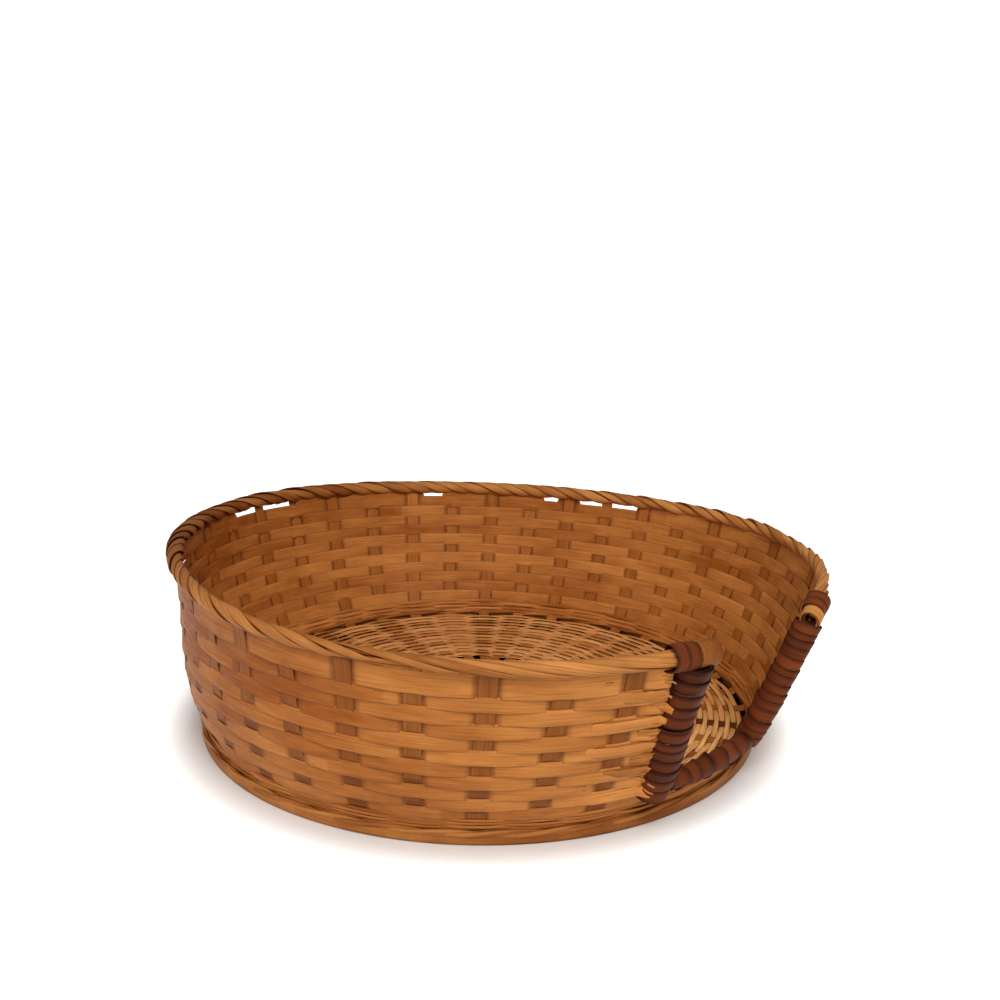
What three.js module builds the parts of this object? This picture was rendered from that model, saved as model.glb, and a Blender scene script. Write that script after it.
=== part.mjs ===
// A round splint basket. A notch in its wall is framed by two posts and a sill bound in cane.
// Millimetres, +Z up. The notch faces -Y, and the origin is under the middle of the whole basket.
import * as THREE from "three";

// The wall's middle surface, which the splints follow
const places = 38; // upright places round the wall, an even number
const footRadius = 117.5;
const rimRadius = 139.6;
const rimHeight = 73.5; // from the floor to the rim's centre line
const wallBulge = 1.6;
const bellySwell = 3.6; // below the middle the wall swells out on one side by this much more
const bellyTowards = 165;
const rimShiftX = 3.5; // the rim's centre sits a little off the base's centre
const rimShiftY = -2.6;
const ovalSwell = 3.5; // the rim is slightly oval, long towards this direction in degrees
const ovalTowards = 262;
const lobeSwell = 3.7; // and has three faint lobes
const lobeTowards = 96;
const rimTilt = 2.4; // the rim stands higher on this side
const tiltTowards = 128;
const rimWave = 1.0;
const waveTowards = 153;
const endDroop = 6.6; // the rim's right end hangs lower, about this direction in degrees
const droopTowards = -76;
const droopSpread = 7; // half the width in degrees over which it comes down

// The strips of the weave
const splintWidth = 5.6;
const splintThick = 1.0;
const splintStop = 0.8; // from the top of a splint to the rim roll, which slopes where it droops
const weaverThick = 0.7;
const weaveGap = 0.3; // clearance where a weaver passes a splint
const rowGap = 0.45; // clearance between one row and the next
const clearance = 0.3; // between pieces that touch

// The foot and the base
const hoopHeight = 4.2;
const hoopThick = 1.5;
const hoopGap = 1.2; // from the hoop's top to the lowest row, which leans out over it
const baseLevel = 3.2; // the middle of the base splints above the floor
const cornerRun = 2.2; // how far in from the wall a splint starts to turn up
const cornerRise = 0.8; // the share of that run in which it has turned
const crossSpacing = 6.1; // from one splint to the next where they cross in the middle
const crossHalf = 14; // the splints run parallel as far as this from the centre
const fanRadius = 46; // from here out the splints run straight out to the wall
const mergeRun = 9; // over which the two crossing layers come down to one level
const baseWeaveSetOut = 5; // from where the layers have merged to the first ring of the base
const baseWeaveSetBack = 4.5; // from the last ring of the base to the wall
const baseRingPitch = 5;

// The rows of the wall
const thinRows = 2;
const thinRowHeight = 2.4;
const wideRowHeight = 4.75; // as many wide rows as the wall has room for
const trimmedRowHeight = 2.85; // the lowest wide row under the sill
const rimSlot = 1.8; // at least this much stays open between the top row and the rim

// The rim
const rimRollRadius = 3.6;
const rimEndRadius = 4.2; // the roll is thicker at its two cut ends
const rimEndSwell = 20; // length over which it thickens
const rimBoreRadius = 2.0;
const rimCoreRadius = 1.4;
const coreSetBack = 3; // the core stops this far inside each cut end

// The notch
const notchCentre = -90;
const postFootAngle = 13.2; // from the notch's centre to a post's foot
const leftPostHeadAngle = 15.2; // and to its head under the rim
const rightPostHeadAngle = 18.4;
const postRadius = 4.2;
const postFootHeight = 16.5;
const postCaneThick = 1.1;
const postLoops = 13;
const sillRadius = 2.3;
const sillHeight = 17.6;
const sillCaneThick = 0.9;
const sillLoops = 7;
const caneGap = 0.6; // between one loop and the next
const leftRimOverhang = 8; // rim beyond the middle of a post's head
const rightRimOverhang = 5;
const lashingLoops = 2;
const lashingLength = 11.5;
const lashingCaneThick = 1.0;

// Fineness of the solids
const loopSteps = 12;
const rodSides = 8;
const rimStepsPerPlace = 1.5;
const droopSteps = 8; // over the run of rim that droops
const droopRun = 36;
const postSteps = 5;
const sillSteps = 6;
const hoopStepsPerPlace = 2;
const wallRisers = 7;

const turn = 2 * Math.PI;
const placeAngle = turn / places;
const notchAngle = THREE.MathUtils.degToRad(notchCentre);
const lerp = THREE.MathUtils.lerp;

function wave(angle, count, towards) {
  return Math.cos(count * (angle - THREE.MathUtils.degToRad(towards)));
}

// The angle from a direction in degrees, from minus to plus half a turn
function fromDirection(angle, towards) {
  return THREE.MathUtils.euclideanModulo(angle - THREE.MathUtils.degToRad(towards) + Math.PI, turn) - Math.PI;
}

// How far the belly swells out at a share of the wall's height, from 0 to 1 where it is fullest, a third up
const bellyPeakShare = 1 / 3;
const bellyForm = (share) => share ** 1.5 * (1 - share) ** 3;
const bellyAt = (share) => bellyForm(share) / bellyForm(bellyPeakShare);

// A point of the wall's middle surface. The share is 0 at the floor and 1 at the rim's centre line.
function wallPoint(angle, share) {
  const swell = ovalSwell * wave(angle, 2, ovalTowards) + lobeSwell * wave(angle, 3, lobeTowards);
  const belly = bellySwell * (0.5 + 0.5 * wave(angle, 1, bellyTowards)) * bellyAt(Math.min(share, 1));
  const bulge = wallBulge * Math.sin(Math.PI * share) + belly;
  const radius = lerp(footRadius, rimRadius + swell, share) + bulge;
  const offDroop = Math.abs(fromDirection(angle, droopTowards)) / THREE.MathUtils.degToRad(droopSpread);
  const droop = endDroop * Math.exp(-(offDroop ** 2)) * share ** 2;
  const height = rimHeight + rimTilt * wave(angle, 1, tiltTowards) + rimWave * wave(angle, 2, waveTowards) - droop;
  return new THREE.Vector3(
    rimShiftX * share + radius * Math.cos(angle),
    rimShiftY * share + radius * Math.sin(angle),
    height * share,
  );
}

// The wall's directions at a point: round the basket, up the wall and out of it
function wallFrame(angle, share) {
  const step = 1e-3;
  const at = wallPoint(angle, share);
  const round = wallPoint(angle + step, share).sub(wallPoint(angle - step, share)).normalize();
  const up = wallPoint(angle, share + step).sub(wallPoint(angle, share - step)).normalize();
  const out = round.clone().cross(up).normalize();
  return { at, round, up, out };
}

const shareOf = (height) => height / rimHeight;

// The share of the wall's height that lies this far down the wall from the rim's centre line
function shareUnderRim(angle, distance) {
  const step = 1e-3;
  return 1 - (step * distance) / wallPoint(angle, 1).distanceTo(wallPoint(angle, 1 - step));
}
const placeAt = (place) => notchAngle + (place + 0.5) * placeAngle;

// How far a weaver stands off the middle surface where it passes a splint
function weaveReach(splintPitch) {
  const needed = splintThick / 2 + weaverThick / 2 + weaveGap;
  return needed / (1 - splintWidth / splintPitch);
}

// A closed solid through a list of rings of points, each ring in the order from its out side to its up side
function skin(rings, closed) {
  const sides = rings[0].length;
  const faces = [];
  const links = closed ? rings.length : rings.length - 1;
  for (let i = 0; i < links; i++) {
    const here = i * sides;
    const next = ((i + 1) % rings.length) * sides;
    for (let j = 0; j < sides; j++) {
      const k = (j + 1) % sides;
      faces.push(here + j, next + j, next + k, here + j, next + k, here + k);
    }
  }
  if (!closed) {
    const last = (rings.length - 1) * sides;
    for (let j = 1; j < sides - 1; j++) {
      faces.push(0, j, j + 1, last, last + j + 1, last + j);
    }
  }
  const geometry = new THREE.BufferGeometry().setFromPoints(rings.flat());
  geometry.setIndex(faces);
  geometry.computeVertexNormals();
  return geometry;
}

// The direction of travel at each point of a path
function travel(points, i, closed) {
  const count = points.length;
  const before = closed ? (i + count - 1) % count : Math.max(i - 1, 0);
  const after = closed ? (i + 1) % count : Math.min(i + 1, count - 1);
  return points[after].clone().sub(points[before]).normalize();
}

// A flat strip through stations, each with a point, the way out of its face, a width and a thickness
function strip(stations, closed = false) {
  const points = stations.map((station) => station.at);
  const rings = stations.map(({ at, out, width, thick }, i) => {
    const along = travel(points, i, closed);
    const across = out.clone().cross(along).normalize();
    const face = along.clone().cross(across);
    const corner = (f, a) => at.clone().addScaledVector(face, (f * thick) / 2).addScaledVector(across, (a * width) / 2);
    return [corner(1, -1), corner(1, 1), corner(-1, 1), corner(-1, -1)];
  });
  return skin(rings, closed);
}

// A regular ring of points round a station of a rail
function ringRound({ at, along, out }, radius, sides) {
  const across = out.clone().cross(along).normalize();
  const face = along.clone().cross(across);
  return Array.from({ length: sides }, (_, k) => {
    const a = (turn * k) / sides;
    return at.clone().addScaledVector(face, radius * Math.cos(a)).addScaledVector(across, radius * Math.sin(a));
  });
}

// A rail is a path by a share from 0 to 1, with its direction of travel and the way out of the wall
function railAlong(angleAt, shareAt) {
  const step = 1e-3;
  const pointAt = (u) => wallPoint(angleAt(u), shareAt(u));
  return (u) => ({
    at: pointAt(u),
    along: pointAt(u + step).sub(pointAt(u - step)).normalize(),
    out: wallFrame(angleAt(u), shareAt(u)).out,
  });
}

const evenShares = (steps) => Array.from({ length: steps + 1 }, (_, i) => i / steps);

function rod(rail, shares, radius) {
  return skin(shares.map((u) => ringRound(rail(u), radius, rodSides)), false);
}

// The radius to the middle of a cane wound round a rod, so that its flats clear the rod
function woundRadius(rodRadius, thick) {
  return (rodRadius + clearance) / Math.cos(Math.PI / loopSteps) + thick / 2;
}

// Cane wound round a rail from one share of it to another, as one unbroken strip
function winding(name, rail, from, to, loops, rodRadius, thick) {
  const length = rail(from).at.distanceTo(rail(to).at);
  const radius = woundRadius(rodRadius, thick);
  const pitch = (length + caneGap) / (loops + 1);
  const slope = Math.atan2(pitch, turn * radius);
  const width = pitch * Math.cos(slope) - caneGap;
  const margin = width / 2 / length;
  const steps = loops * loopSteps;
  const stations = Array.from({ length: steps + 1 }, (_, i) => {
    const u = lerp(from, to, lerp(margin, 1 - margin, i / steps));
    const station = rail(u);
    const across = station.out.clone().cross(station.along).normalize();
    const face = station.along.clone().cross(across);
    const a = (turn * i) / loopSteps;
    // Round from the out side to the side across, so that the rail's own direction is the strip's width
    const out = face.multiplyScalar(Math.cos(a)).addScaledVector(across, Math.sin(a));
    return { at: station.at.clone().addScaledVector(out, radius), out, width, thick };
  });
  const geometry = strip(stations);
  const pointsPerLoop = loopSteps * (geometry.getAttribute("position").count / stations.length);
  console.log(`${name}: least gap to itself ${leastGap(geometry, pointsPerLoop).toFixed(2)} mm`);
  return geometry;
}

// The least distance between points of a winding that are at least three quarters of a loop apart
function leastGap(geometry, pointsPerLoop) {
  const apart = Math.round((pointsPerLoop * 3) / 4);
  const points = geometry.getAttribute("position");
  const a = new THREE.Vector3();
  const b = new THREE.Vector3();
  let least = Infinity;
  for (let i = 0; i < points.count; i++) {
    a.fromBufferAttribute(points, i);
    for (let j = i + apart; j < points.count; j++) {
      least = Math.min(least, a.distanceTo(b.fromBufferAttribute(points, j)));
    }
  }
  return least;
}

// Materials, one for each finish
const finish = (color, roughness) => new THREE.MeshStandardMaterial({ color, roughness, metalness: 0 });
const splintFinish = finish(0xb9814a, 0.6);
const baseFinish = finish(0xb98a4e, 0.65);
const weaverFinish = finish(0xc08550, 0.55);
const hoopFinish = finish(0xb67c48, 0.6);
const rimFinish = finish(0xb98350, 0.55);
const coreFinish = finish(0x9a6c40, 0.7);
const rodFinish = finish(0x8a5a38, 0.7);
const caneFinish = finish(0x6b3320, 0.45);

const basket = new THREE.Group();
function add(name, geometry, material) {
  const mesh = new THREE.Mesh(geometry, material);
  mesh.name = name;
  basket.add(mesh);
}
const numbered = (name, i) => `${name}_${String(i + 1).padStart(2, "0")}`;

// The outer radius of the cane on a post, on the sill and on the rim
const postOuter = woundRadius(postRadius, postCaneThick) + postCaneThick / 2;
const sillOuter = woundRadius(sillRadius, sillCaneThick) + sillCaneThick / 2;
const lashingOuter = woundRadius(rimEndRadius, lashingCaneThick) + lashingCaneThick / 2;

// The side is -1 for the left post and 1 for the right one
const postFootShare = shareOf(postFootHeight);
function postAngleAt(side, share) {
  const postHeadAngle = side < 0 ? leftPostHeadAngle : rightPostHeadAngle;
  const u = (share - postFootShare) / (1 - postFootShare);
  return notchAngle + side * THREE.MathUtils.degToRad(lerp(postFootAngle, postHeadAngle, u));
}
const postHeadShare = (side) => shareUnderRim(postAngleAt(side, 1), lashingOuter + clearance);

// Splints

// Within the notch the uprights stop short of the rim
function reachesRim(place) {
  return Math.abs(fromDirection(placeAt(place), notchCentre)) >= THREE.MathUtils.degToRad(postFootAngle) + postOuter / footRadius;
}

// Beside a post's head the uprights stop under the rim's lashing
function meetsLashing(place) {
  const fromNotch = fromDirection(placeAt(place), notchCentre);
  const head = Math.abs(postAngleAt(Math.sign(fromNotch), 1) - notchAngle);
  return Math.abs(fromNotch) < head + (lashingLength + splintWidth) / rimRadius;
}

// The height at which a place's upright stops: under the sill within the notch, and under the rim elsewhere
function topShare(place) {
  return reachesRim(place)
    ? shareUnderRim(placeAt(place), (meetsLashing(place) ? lashingOuter : rimRollRadius) + splintStop)
    : Math.min(shareOf(sillHeight - sillOuter), postFootShare) - shareOf(clearance);
}

// One end of a splint, from the middle of the base out to the wall and up it
function splintHalf(place, lane, alongX) {
  const angle = placeAt(place);
  const wayOut = new THREE.Vector3(Math.cos(angle), Math.sin(angle), 0);
  const layer = ((alongX ? -1 : 1) * (splintThick + clearance)) / 2;
  const level = (at, raise) => at.setZ(baseLevel + raise);
  const parallel = alongX
    ? new THREE.Vector3(Math.sign(wayOut.x) * crossHalf, lane, 0)
    : new THREE.Vector3(lane, Math.sign(wayOut.y) * crossHalf, 0);
  const fanned = wayOut.clone().multiplyScalar(fanRadius);
  const merged = wayOut.clone().multiplyScalar(fanRadius + mergeRun);
  const down = new THREE.Vector3(0, 0, -1);
  const corner = wallFrame(angle, shareOf(baseLevel));
  const stations = [
    { at: level(parallel, layer), out: down },
    { at: level(fanned, layer), out: down },
    { at: level(merged, 0), out: down },
    { at: level(corner.at.clone().addScaledVector(wayOut, -cornerRun), 0), out: down },
    {
      at: corner.at.clone().addScaledVector(wayOut, -cornerRun / 4).addScaledVector(corner.up, cornerRun / 4),
      out: wayOut.clone().add(down).normalize(),
    },
  ];
  // Up the wall in even steps, one only for a splint that stops under the sill
  const low = shareOf(baseLevel) + shareOf(cornerRun * cornerRise);
  const top = topShare(place);
  const risers = reachesRim(place) ? wallRisers : 1;
  for (let i = 0; i <= risers; i++) {
    const share = lerp(low, top, i / risers);
    const { at, out } = wallFrame(angle, share);
    stations.push({ at, out });
  }
  return stations;
}

// Each splint joins two places that lie straight across the base from each other, along X or along Y
const longSplints = places / 2;
const splintsAlongX = 2 * Math.floor(longSplints / 4) + 1;
for (let i = 0; i < longSplints; i++) {
  const place = Math.floor(places / 4) + 1 - Math.ceil(splintsAlongX / 2) + i;
  const alongX = i < splintsAlongX;
  const lanes = alongX ? splintsAlongX : longSplints - splintsAlongX;
  const lane = ((alongX ? i : i - splintsAlongX) - (lanes - 1) / 2) * crossSpacing;
  const signed = alongX ? lane : -lane;
  const across = alongX ? places - 1 - place : longSplints - 1 - place;
  const halves = [...splintHalf(across, signed, alongX).reverse(), ...splintHalf(place, signed, alongX)];
  const stations = halves.map((station) => ({ ...station, width: splintWidth, thick: splintThick }));
  add(numbered("splint", i), strip(stations), splintFinish);
}

// Base weavers: two strips that chase each other out in a spiral, each over the splints that the other goes under
function baseWeaver(first) {
  const pitch = 2 * baseRingPitch;
  const start = fanRadius + mergeRun + baseWeaveSetOut + first * baseRingPitch;
  const end = footRadius - baseWeaveSetBack;
  const steps = Math.floor(((end - start) / pitch) * places);
  const stations = Array.from({ length: steps + 1 }, (_, k) => {
    const angle = placeAt(k);
    const radius = start + (pitch * k) / places;
    const reach = weaveReach((turn * radius) / places) * ((k + first) % 2 ? -1 : 1);
    return {
      at: new THREE.Vector3(radius * Math.cos(angle), radius * Math.sin(angle), baseLevel + reach),
      out: new THREE.Vector3(0, 0, 1),
      width: baseRingPitch - rowGap,
      thick: weaverThick,
    };
  });
  return strip(stations);
}
add("base_weaver_a", baseWeaver(0), baseFinish);
add("base_weaver_b", baseWeaver(1), baseFinish);

// The foot hoop, outside the splints' corners and flat on the floor
{
  const steps = places * hoopStepsPerPlace;
  const share = shareOf(hoopHeight);
  const bulge = wallBulge * Math.sin(Math.PI * share) + bellySwell * bellyAt(share);
  const inner = lerp(footRadius, rimRadius + ovalSwell, share) + bulge + splintThick / 2 + clearance;
  const stations = Array.from({ length: steps }, (_, i) => {
    const out = new THREE.Vector3(Math.cos((turn * i) / steps), Math.sin((turn * i) / steps), 0);
    const at = out.clone().multiplyScalar(inner + hoopThick / 2).setZ(hoopHeight / 2);
    return { at, out, width: hoopHeight, thick: hoopThick };
  });
  add("foot_hoop", strip(stations, true), hoopFinish);
}

// A station of a row of the wall, between two heights
function rowStation(angle, low, high, reach) {
  const { at, up, out } = wallFrame(angle, shareOf((low + high) / 2));
  const tall = wallPoint(angle, shareOf(high)).distanceTo(wallPoint(angle, shareOf(low)));
  at.addScaledVector(out, reach);
  return { at, out, up, width: tall, thick: weaverThick };
}
const wallReach = weaveReach((turn * footRadius) / places);
const sideOf = (place, row) => ((place + row) % 2 ? -wallReach : wallReach);

// A row that runs all the way round. Under the notch its upper edge may be lower.
function fullRow(low, high, row, highInNotch = high) {
  const stations = Array.from({ length: places }, (_, place) => {
    return rowStation(placeAt(place), low, reachesRim(place) ? high : highInNotch, sideOf(place, row));
  });
  return strip(stations, true);
}

// A row that stops against the cane of the two posts or, just under the rim, against the lashings
function cutRow(low, high, row) {
  const share = shareOf((low + high) / 2);
  const stop = (side) => {
    const besideLashing = shareOf(high) > postHeadShare(side);
    return ((besideLashing ? lashingLength : postOuter) + clearance) / footRadius;
  };
  const start = postAngleAt(1, share) + stop(1);
  const end = postAngleAt(-1, share) - stop(-1) + turn;
  const first = places - Array.from({ length: places }, (_, place) => placeAt(place)).filter((a) => a > start).length;
  const last = Array.from({ length: places }, (_, place) => placeAt(place)).filter((a) => a < end).length - 1;
  const stations = [];
  for (let place = first; place <= last; place++) {
    stations.push(rowStation(placeAt(place), low, high, sideOf(place, row)));
  }
  const part = (edge, place) => lerp(sideOf(place, row), -sideOf(place, row), Math.abs(edge - placeAt(place)) / placeAngle);
  stations.unshift(rowStation(start, low, high, part(start, first)));
  stations.push(rowStation(end, low, high, part(end, last)));
  return strip(stations);
}

let low = hoopHeight + hoopGap;
for (let i = 0; i < thinRows; i++) {
  add(numbered("thin_weaver", i), fullRow(low, low + thinRowHeight, i), weaverFinish);
  low += thinRowHeight + rowGap;
}
const roomForRows = rimHeight - rimRollRadius - rimSlot - low;
const wideRows = Math.floor((roomForRows + rowGap) / (wideRowHeight + rowGap));
for (let i = 0; i < wideRows; i++) {
  const row = thinRows + i;
  const high = low + wideRowHeight;
  const geometry = i === 0 ? fullRow(low, high, row, low + trimmedRowHeight) : cutRow(low, high, row);
  add(numbered("wall_weaver", i), geometry, weaverFinish);
  low = high + rowGap;
}

// The rim: a hollow roll with a core, open at the notch
const leftEnd = postAngleAt(-1, 1) + turn + leftRimOverhang / rimRadius;
const rightEnd = postAngleAt(1, 1) - rightRimOverhang / rimRadius;
const rimSpan = leftEnd - rightEnd;
const rimSteps = Math.round((rimSpan / placeAngle) * rimStepsPerPlace);
const rimRail = railAlong((u) => rightEnd + rimSpan * u, () => 1);
{
  const swellShare = rimEndSwell / (rimSpan * rimRadius);
  const radiusAt = (u) => {
    const nearEnd = THREE.MathUtils.smoothstep(Math.min(u, 1 - u), 0, swellShare);
    return lerp(rimEndRadius, rimRollRadius, nearEnd);
  };
  const droopShare = droopRun / (rimSpan * rimRadius);
  const shares = [
    ...evenShares(droopSteps).map((u) => droopShare * u),
    ...evenShares(rimSteps).slice(1).map((u) => lerp(droopShare, 1, u)),
  ];
  const outside = shares.map((u) => ringRound(rimRail(u), radiusAt(u), rodSides));
  const inside = shares.map((u) => ringRound(rimRail(u), rimBoreRadius, rodSides)).reverse();
  add("rim_roll", skin([...outside, ...inside], true), rimFinish);
  const setBack = coreSetBack / (rimSpan * rimRadius);
  const coreRail = (u) => rimRail(lerp(setBack, 1 - setBack, u));
  add("rim_core", rod(coreRail, shares, rimCoreRadius), coreFinish);
}

// The posts, the sill and their cane
for (const [name, side] of [["left", -1], ["right", 1]]) {
  const shareAt = (u) => lerp(postFootShare, postHeadShare(side), u);
  const rail = railAlong((u) => postAngleAt(side, shareAt(u)), shareAt);
  add(`${name}_post`, rod(rail, evenShares(postSteps), postRadius), rodFinish);
  const wrap = winding(`${name}_post_wrap`, rail, 0, 1, postLoops, postRadius, postCaneThick);
  add(`${name}_post_wrap`, wrap, caneFinish);
}
{
  const share = shareOf(sillHeight);
  const reach = THREE.MathUtils.degToRad(postFootAngle) - (postOuter + clearance) / footRadius;
  const rail = railAlong((u) => notchAngle + lerp(-reach, reach, u), () => share);
  add("sill", rod(rail, evenShares(sillSteps), sillRadius), rodFinish);
  add("sill_wrap", winding("sill_wrap", rail, 0, 1, sillLoops, sillRadius, sillCaneThick), caneFinish);
}
{
  // Two turns of cane bind each cut end of the rim, from the middle of the post's head back along the rim
  const shareFor = (distance) => distance / (rimSpan * rimRadius);
  const bind = (name, from, to) => {
    const geometry = winding(name, rimRail, from, to, lashingLoops, rimEndRadius, lashingCaneThick);
    add(name, geometry, caneFinish);
  };
  bind("right_rim_lashing", shareFor(rightRimOverhang), shareFor(rightRimOverhang + lashingLength));
  bind("left_rim_lashing", 1 - shareFor(leftRimOverhang + lashingLength), 1 - shareFor(leftRimOverhang));
}

// The origin is under the middle of the basket's box
const box = new THREE.Box3().setFromObject(basket);
const middle = box.getCenter(new THREE.Vector3());
basket.position.set(-middle.x, -middle.y, 0);

export default basket;
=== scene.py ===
"""A round basket of woven flat splints, with a rolled rim and a notch framed by cane-bound posts and a sill.

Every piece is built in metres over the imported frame, +Z up, with the notch towards -Y.
"""
import math

import bpy
import numpy as np
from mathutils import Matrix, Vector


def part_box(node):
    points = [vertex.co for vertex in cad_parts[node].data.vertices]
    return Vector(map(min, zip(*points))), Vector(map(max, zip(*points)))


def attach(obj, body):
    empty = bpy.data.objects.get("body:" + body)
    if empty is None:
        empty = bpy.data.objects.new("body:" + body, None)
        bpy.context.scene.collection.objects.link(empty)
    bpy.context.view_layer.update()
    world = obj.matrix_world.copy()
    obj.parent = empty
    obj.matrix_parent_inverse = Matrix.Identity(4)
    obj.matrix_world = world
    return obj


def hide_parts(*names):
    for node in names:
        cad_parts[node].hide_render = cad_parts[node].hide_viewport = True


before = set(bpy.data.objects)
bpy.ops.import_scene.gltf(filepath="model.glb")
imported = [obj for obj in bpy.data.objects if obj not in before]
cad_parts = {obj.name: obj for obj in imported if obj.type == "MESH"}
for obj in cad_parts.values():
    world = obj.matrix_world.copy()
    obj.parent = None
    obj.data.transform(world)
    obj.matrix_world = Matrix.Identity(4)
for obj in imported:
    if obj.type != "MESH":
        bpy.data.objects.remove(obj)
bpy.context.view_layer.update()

bl_info = {
    "name": "Splint basket",
    "version": (1, 0, 0),
    "blender": (4, 5, 0),
    "location": "View3D > Sidebar > Basket",
    "description": "Weaves a round splint basket with a cane-bound notch in its wall",
    "category": "Add Mesh",
}

MM = 0.001
TURN = 2 * math.pi
UP = np.array([0.0, 0.0, 1.0])
DOWN = -UP

# How far apart two places are, as an angle or a share, to find the way from one to the other
NUDGE = 1e-3

# Where the random draws of each kind of strip start
SEEDS = {
    "splint": 100, "base": 200, "foot": 300, "twined": 400, "row": 500, "rim": 600, "core": 700,
    "left_post": 800, "right_post": 801, "sill": 811, "left_lashing": 819, "right_lashing": 821,
}


def linear(red, green, blue):
    """A colour in steps of 255, as a screen shows it, in the values that Blender works in."""
    def one(step):
        share = step / 255
        return share / 12.92 if share <= 0.04045 else ((share + 0.055) / 1.055) ** 2.4
    return (one(red), one(green), one(blue))


def number_of(name, description, number):
    return bpy.props.FloatProperty(name=name, description=description, default=number)


def count_of(name, description, count):
    return bpy.props.IntProperty(name=name, description=description, default=count)


def length_of(name, description, millimetres):
    """A length that the user can change, given in millimetres and kept in metres."""
    return bpy.props.FloatProperty(
        name=name, description=description, default=millimetres * MM, unit="LENGTH", precision=4)


def angle_of(name, description, degrees):
    """An angle that the user can change, given in degrees and kept in radians."""
    return bpy.props.FloatProperty(
        name=name, description=description, default=math.radians(degrees), unit="ROTATION")


def power_of(name, description, watts):
    return bpy.props.FloatProperty(name=name, description=description, default=watts, unit="POWER")


def colour_of(name, description, red, green, blue):
    return bpy.props.FloatVectorProperty(
        name=name, description=description, default=linear(red, green, blue), subtype="COLOR",
        size=3, min=0.0, max=1.0)


class BasketShape(bpy.types.PropertyGroup):
    """The wall's middle surface, which the upright splints follow."""
    places: count_of("Places", "Upright places round the wall", 38)
    foot_radius: length_of("Foot radius", "Radius of the wall at the floor", 117.5)
    rim_radius: length_of("Rim radius", "Mean radius of the wall at the rim's centre line", 139.6)
    rim_height: length_of("Rim height", "Mean height of the rim's centre line", 73.5)
    wall_bulge: length_of("Wall bulge", "How far the wall swells out at half height", 1.6)
    belly_swell: length_of("Belly swell", "How much further it swells below the middle on its full side", 3.6)
    belly_towards: angle_of("Belly towards", "Direction of the full side", 165)
    rim_shift_x: length_of("Rim shift X", "How far the rim's centre lies off the foot's, along X", 3.5)
    rim_shift_y: length_of("Rim shift Y", "How far the rim's centre lies off the foot's, along Y", -2.6)
    oval_swell: length_of("Oval swell", "How much the rim's radius grows towards its long ends", 3.5)
    oval_towards: angle_of("Oval towards", "Direction of the rim's long way", 262)
    lobe_swell: length_of("Lobe swell", "Height of the rim's three faint lobes", 3.7)
    lobe_towards: angle_of("Lobe towards", "Direction of the first lobe", 96)
    rim_tilt: length_of("Rim tilt", "How much higher the rim stands on its high side", 2.4)
    tilt_towards: angle_of("Tilt towards", "Direction of the rim's high side", 128)
    rim_wave: length_of("Rim wave", "Height of the rim's slow wave", 1.0)
    wave_towards: angle_of("Wave towards", "Direction of a crest of that wave", 153)
    end_droop: length_of("End droop", "How much lower the rim's right end hangs", 6.6)
    droop_towards: angle_of("Droop towards", "Direction of the rim's lowest place", -76)
    droop_spread: angle_of("Droop spread", "Half the width over which the rim comes down", 7)
    # The rows on that side are darkened by painted shade
    painted_shade_towards: angle_of("Shaded side towards", "Direction of the side where rows have darkened", 155)


class BasketWeave(bpy.types.PropertyGroup):
    """The strips of the wall and the base."""
    splint_width: length_of("Splint width", "Width of an upright splint on the wall", 6.2)
    splint_centre_width: length_of("Splint centre width", "Width of a splint in the middle of the base", 5.4)
    splint_thick: length_of("Splint thickness", "Thickness of an upright splint", 0.22)
    weaver_thick: length_of("Weaver thickness", "Thickness of a wall weaver", 0.28)
    row_reach: length_of("Row reach", "How far a wall weaver stands off where it passes an upright", 0.27)
    row_lap: length_of("Row lap", "How far a row laps over the next one", 1.2)
    row_lean: angle_of("Row lean", "How far a row leans in, so that its lower edge laps over the next", 6.2)
    wide_row_height: length_of("Wide row height", "Height of a wide row", 4.75)
    row_gap: length_of("Row gap", "Gap from one row to the next", 0.45)
    thin_row_height: length_of("Thin row height", "Height of a row of twined strands at the foot", 2.4)
    thin_rows: count_of("Thin rows", "Rows of twined strands at the foot", 2)
    wide_rows: count_of("Wide rows", "Rows of wide weavers", 11)
    trimmed_row_height: length_of("Trimmed row height", "Height of the lowest wide row under the sill", 2.85)
    hoop_height: length_of("Hoop height", "Height of the foot hoop", 4.2)
    hoop_thick: length_of("Hoop thickness", "Thickness of the foot hoop", 1.5)
    hoop_gap: length_of("Hoop gap", "Gap from the hoop's top to the lowest row", 1.2)
    base_level: length_of("Base level", "Height of the middle of the base splints", 3.2)
    corner_run: length_of("Corner run", "How far in from the wall a splint starts to turn up", 2.2)
    cross_spacing: length_of("Cross spacing", "From one splint to the next in the middle of the base", 6.1)
    cross_half: length_of("Cross half", "The splints run side by side as far as this from the centre", 14)
    fan_radius: length_of("Fan radius", "From here the splints run straight out to the wall", 46)
    twined_strand: length_of("Twined strand", "Width of a twined strand at the foot", 1.95)
    base_ring_pitch: length_of("Base ring pitch", "From one ring of the base to the next", 2.4)
    base_ring_width: length_of("Base strand width", "Width of a base strand", 3.0)
    base_ring_thick: length_of("Base strand thickness", "Thickness of a base strand", 0.5)
    base_ring_reach: length_of("Base strand reach", "How far a base strand rises over a splint", 0.34)
    base_weave_start: length_of("Base weave start", "Radius of the first ring of the base", 50.5)
    base_weave_end: length_of("Base weave end", "Radius of the last ring of the base", 117.8)


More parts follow.
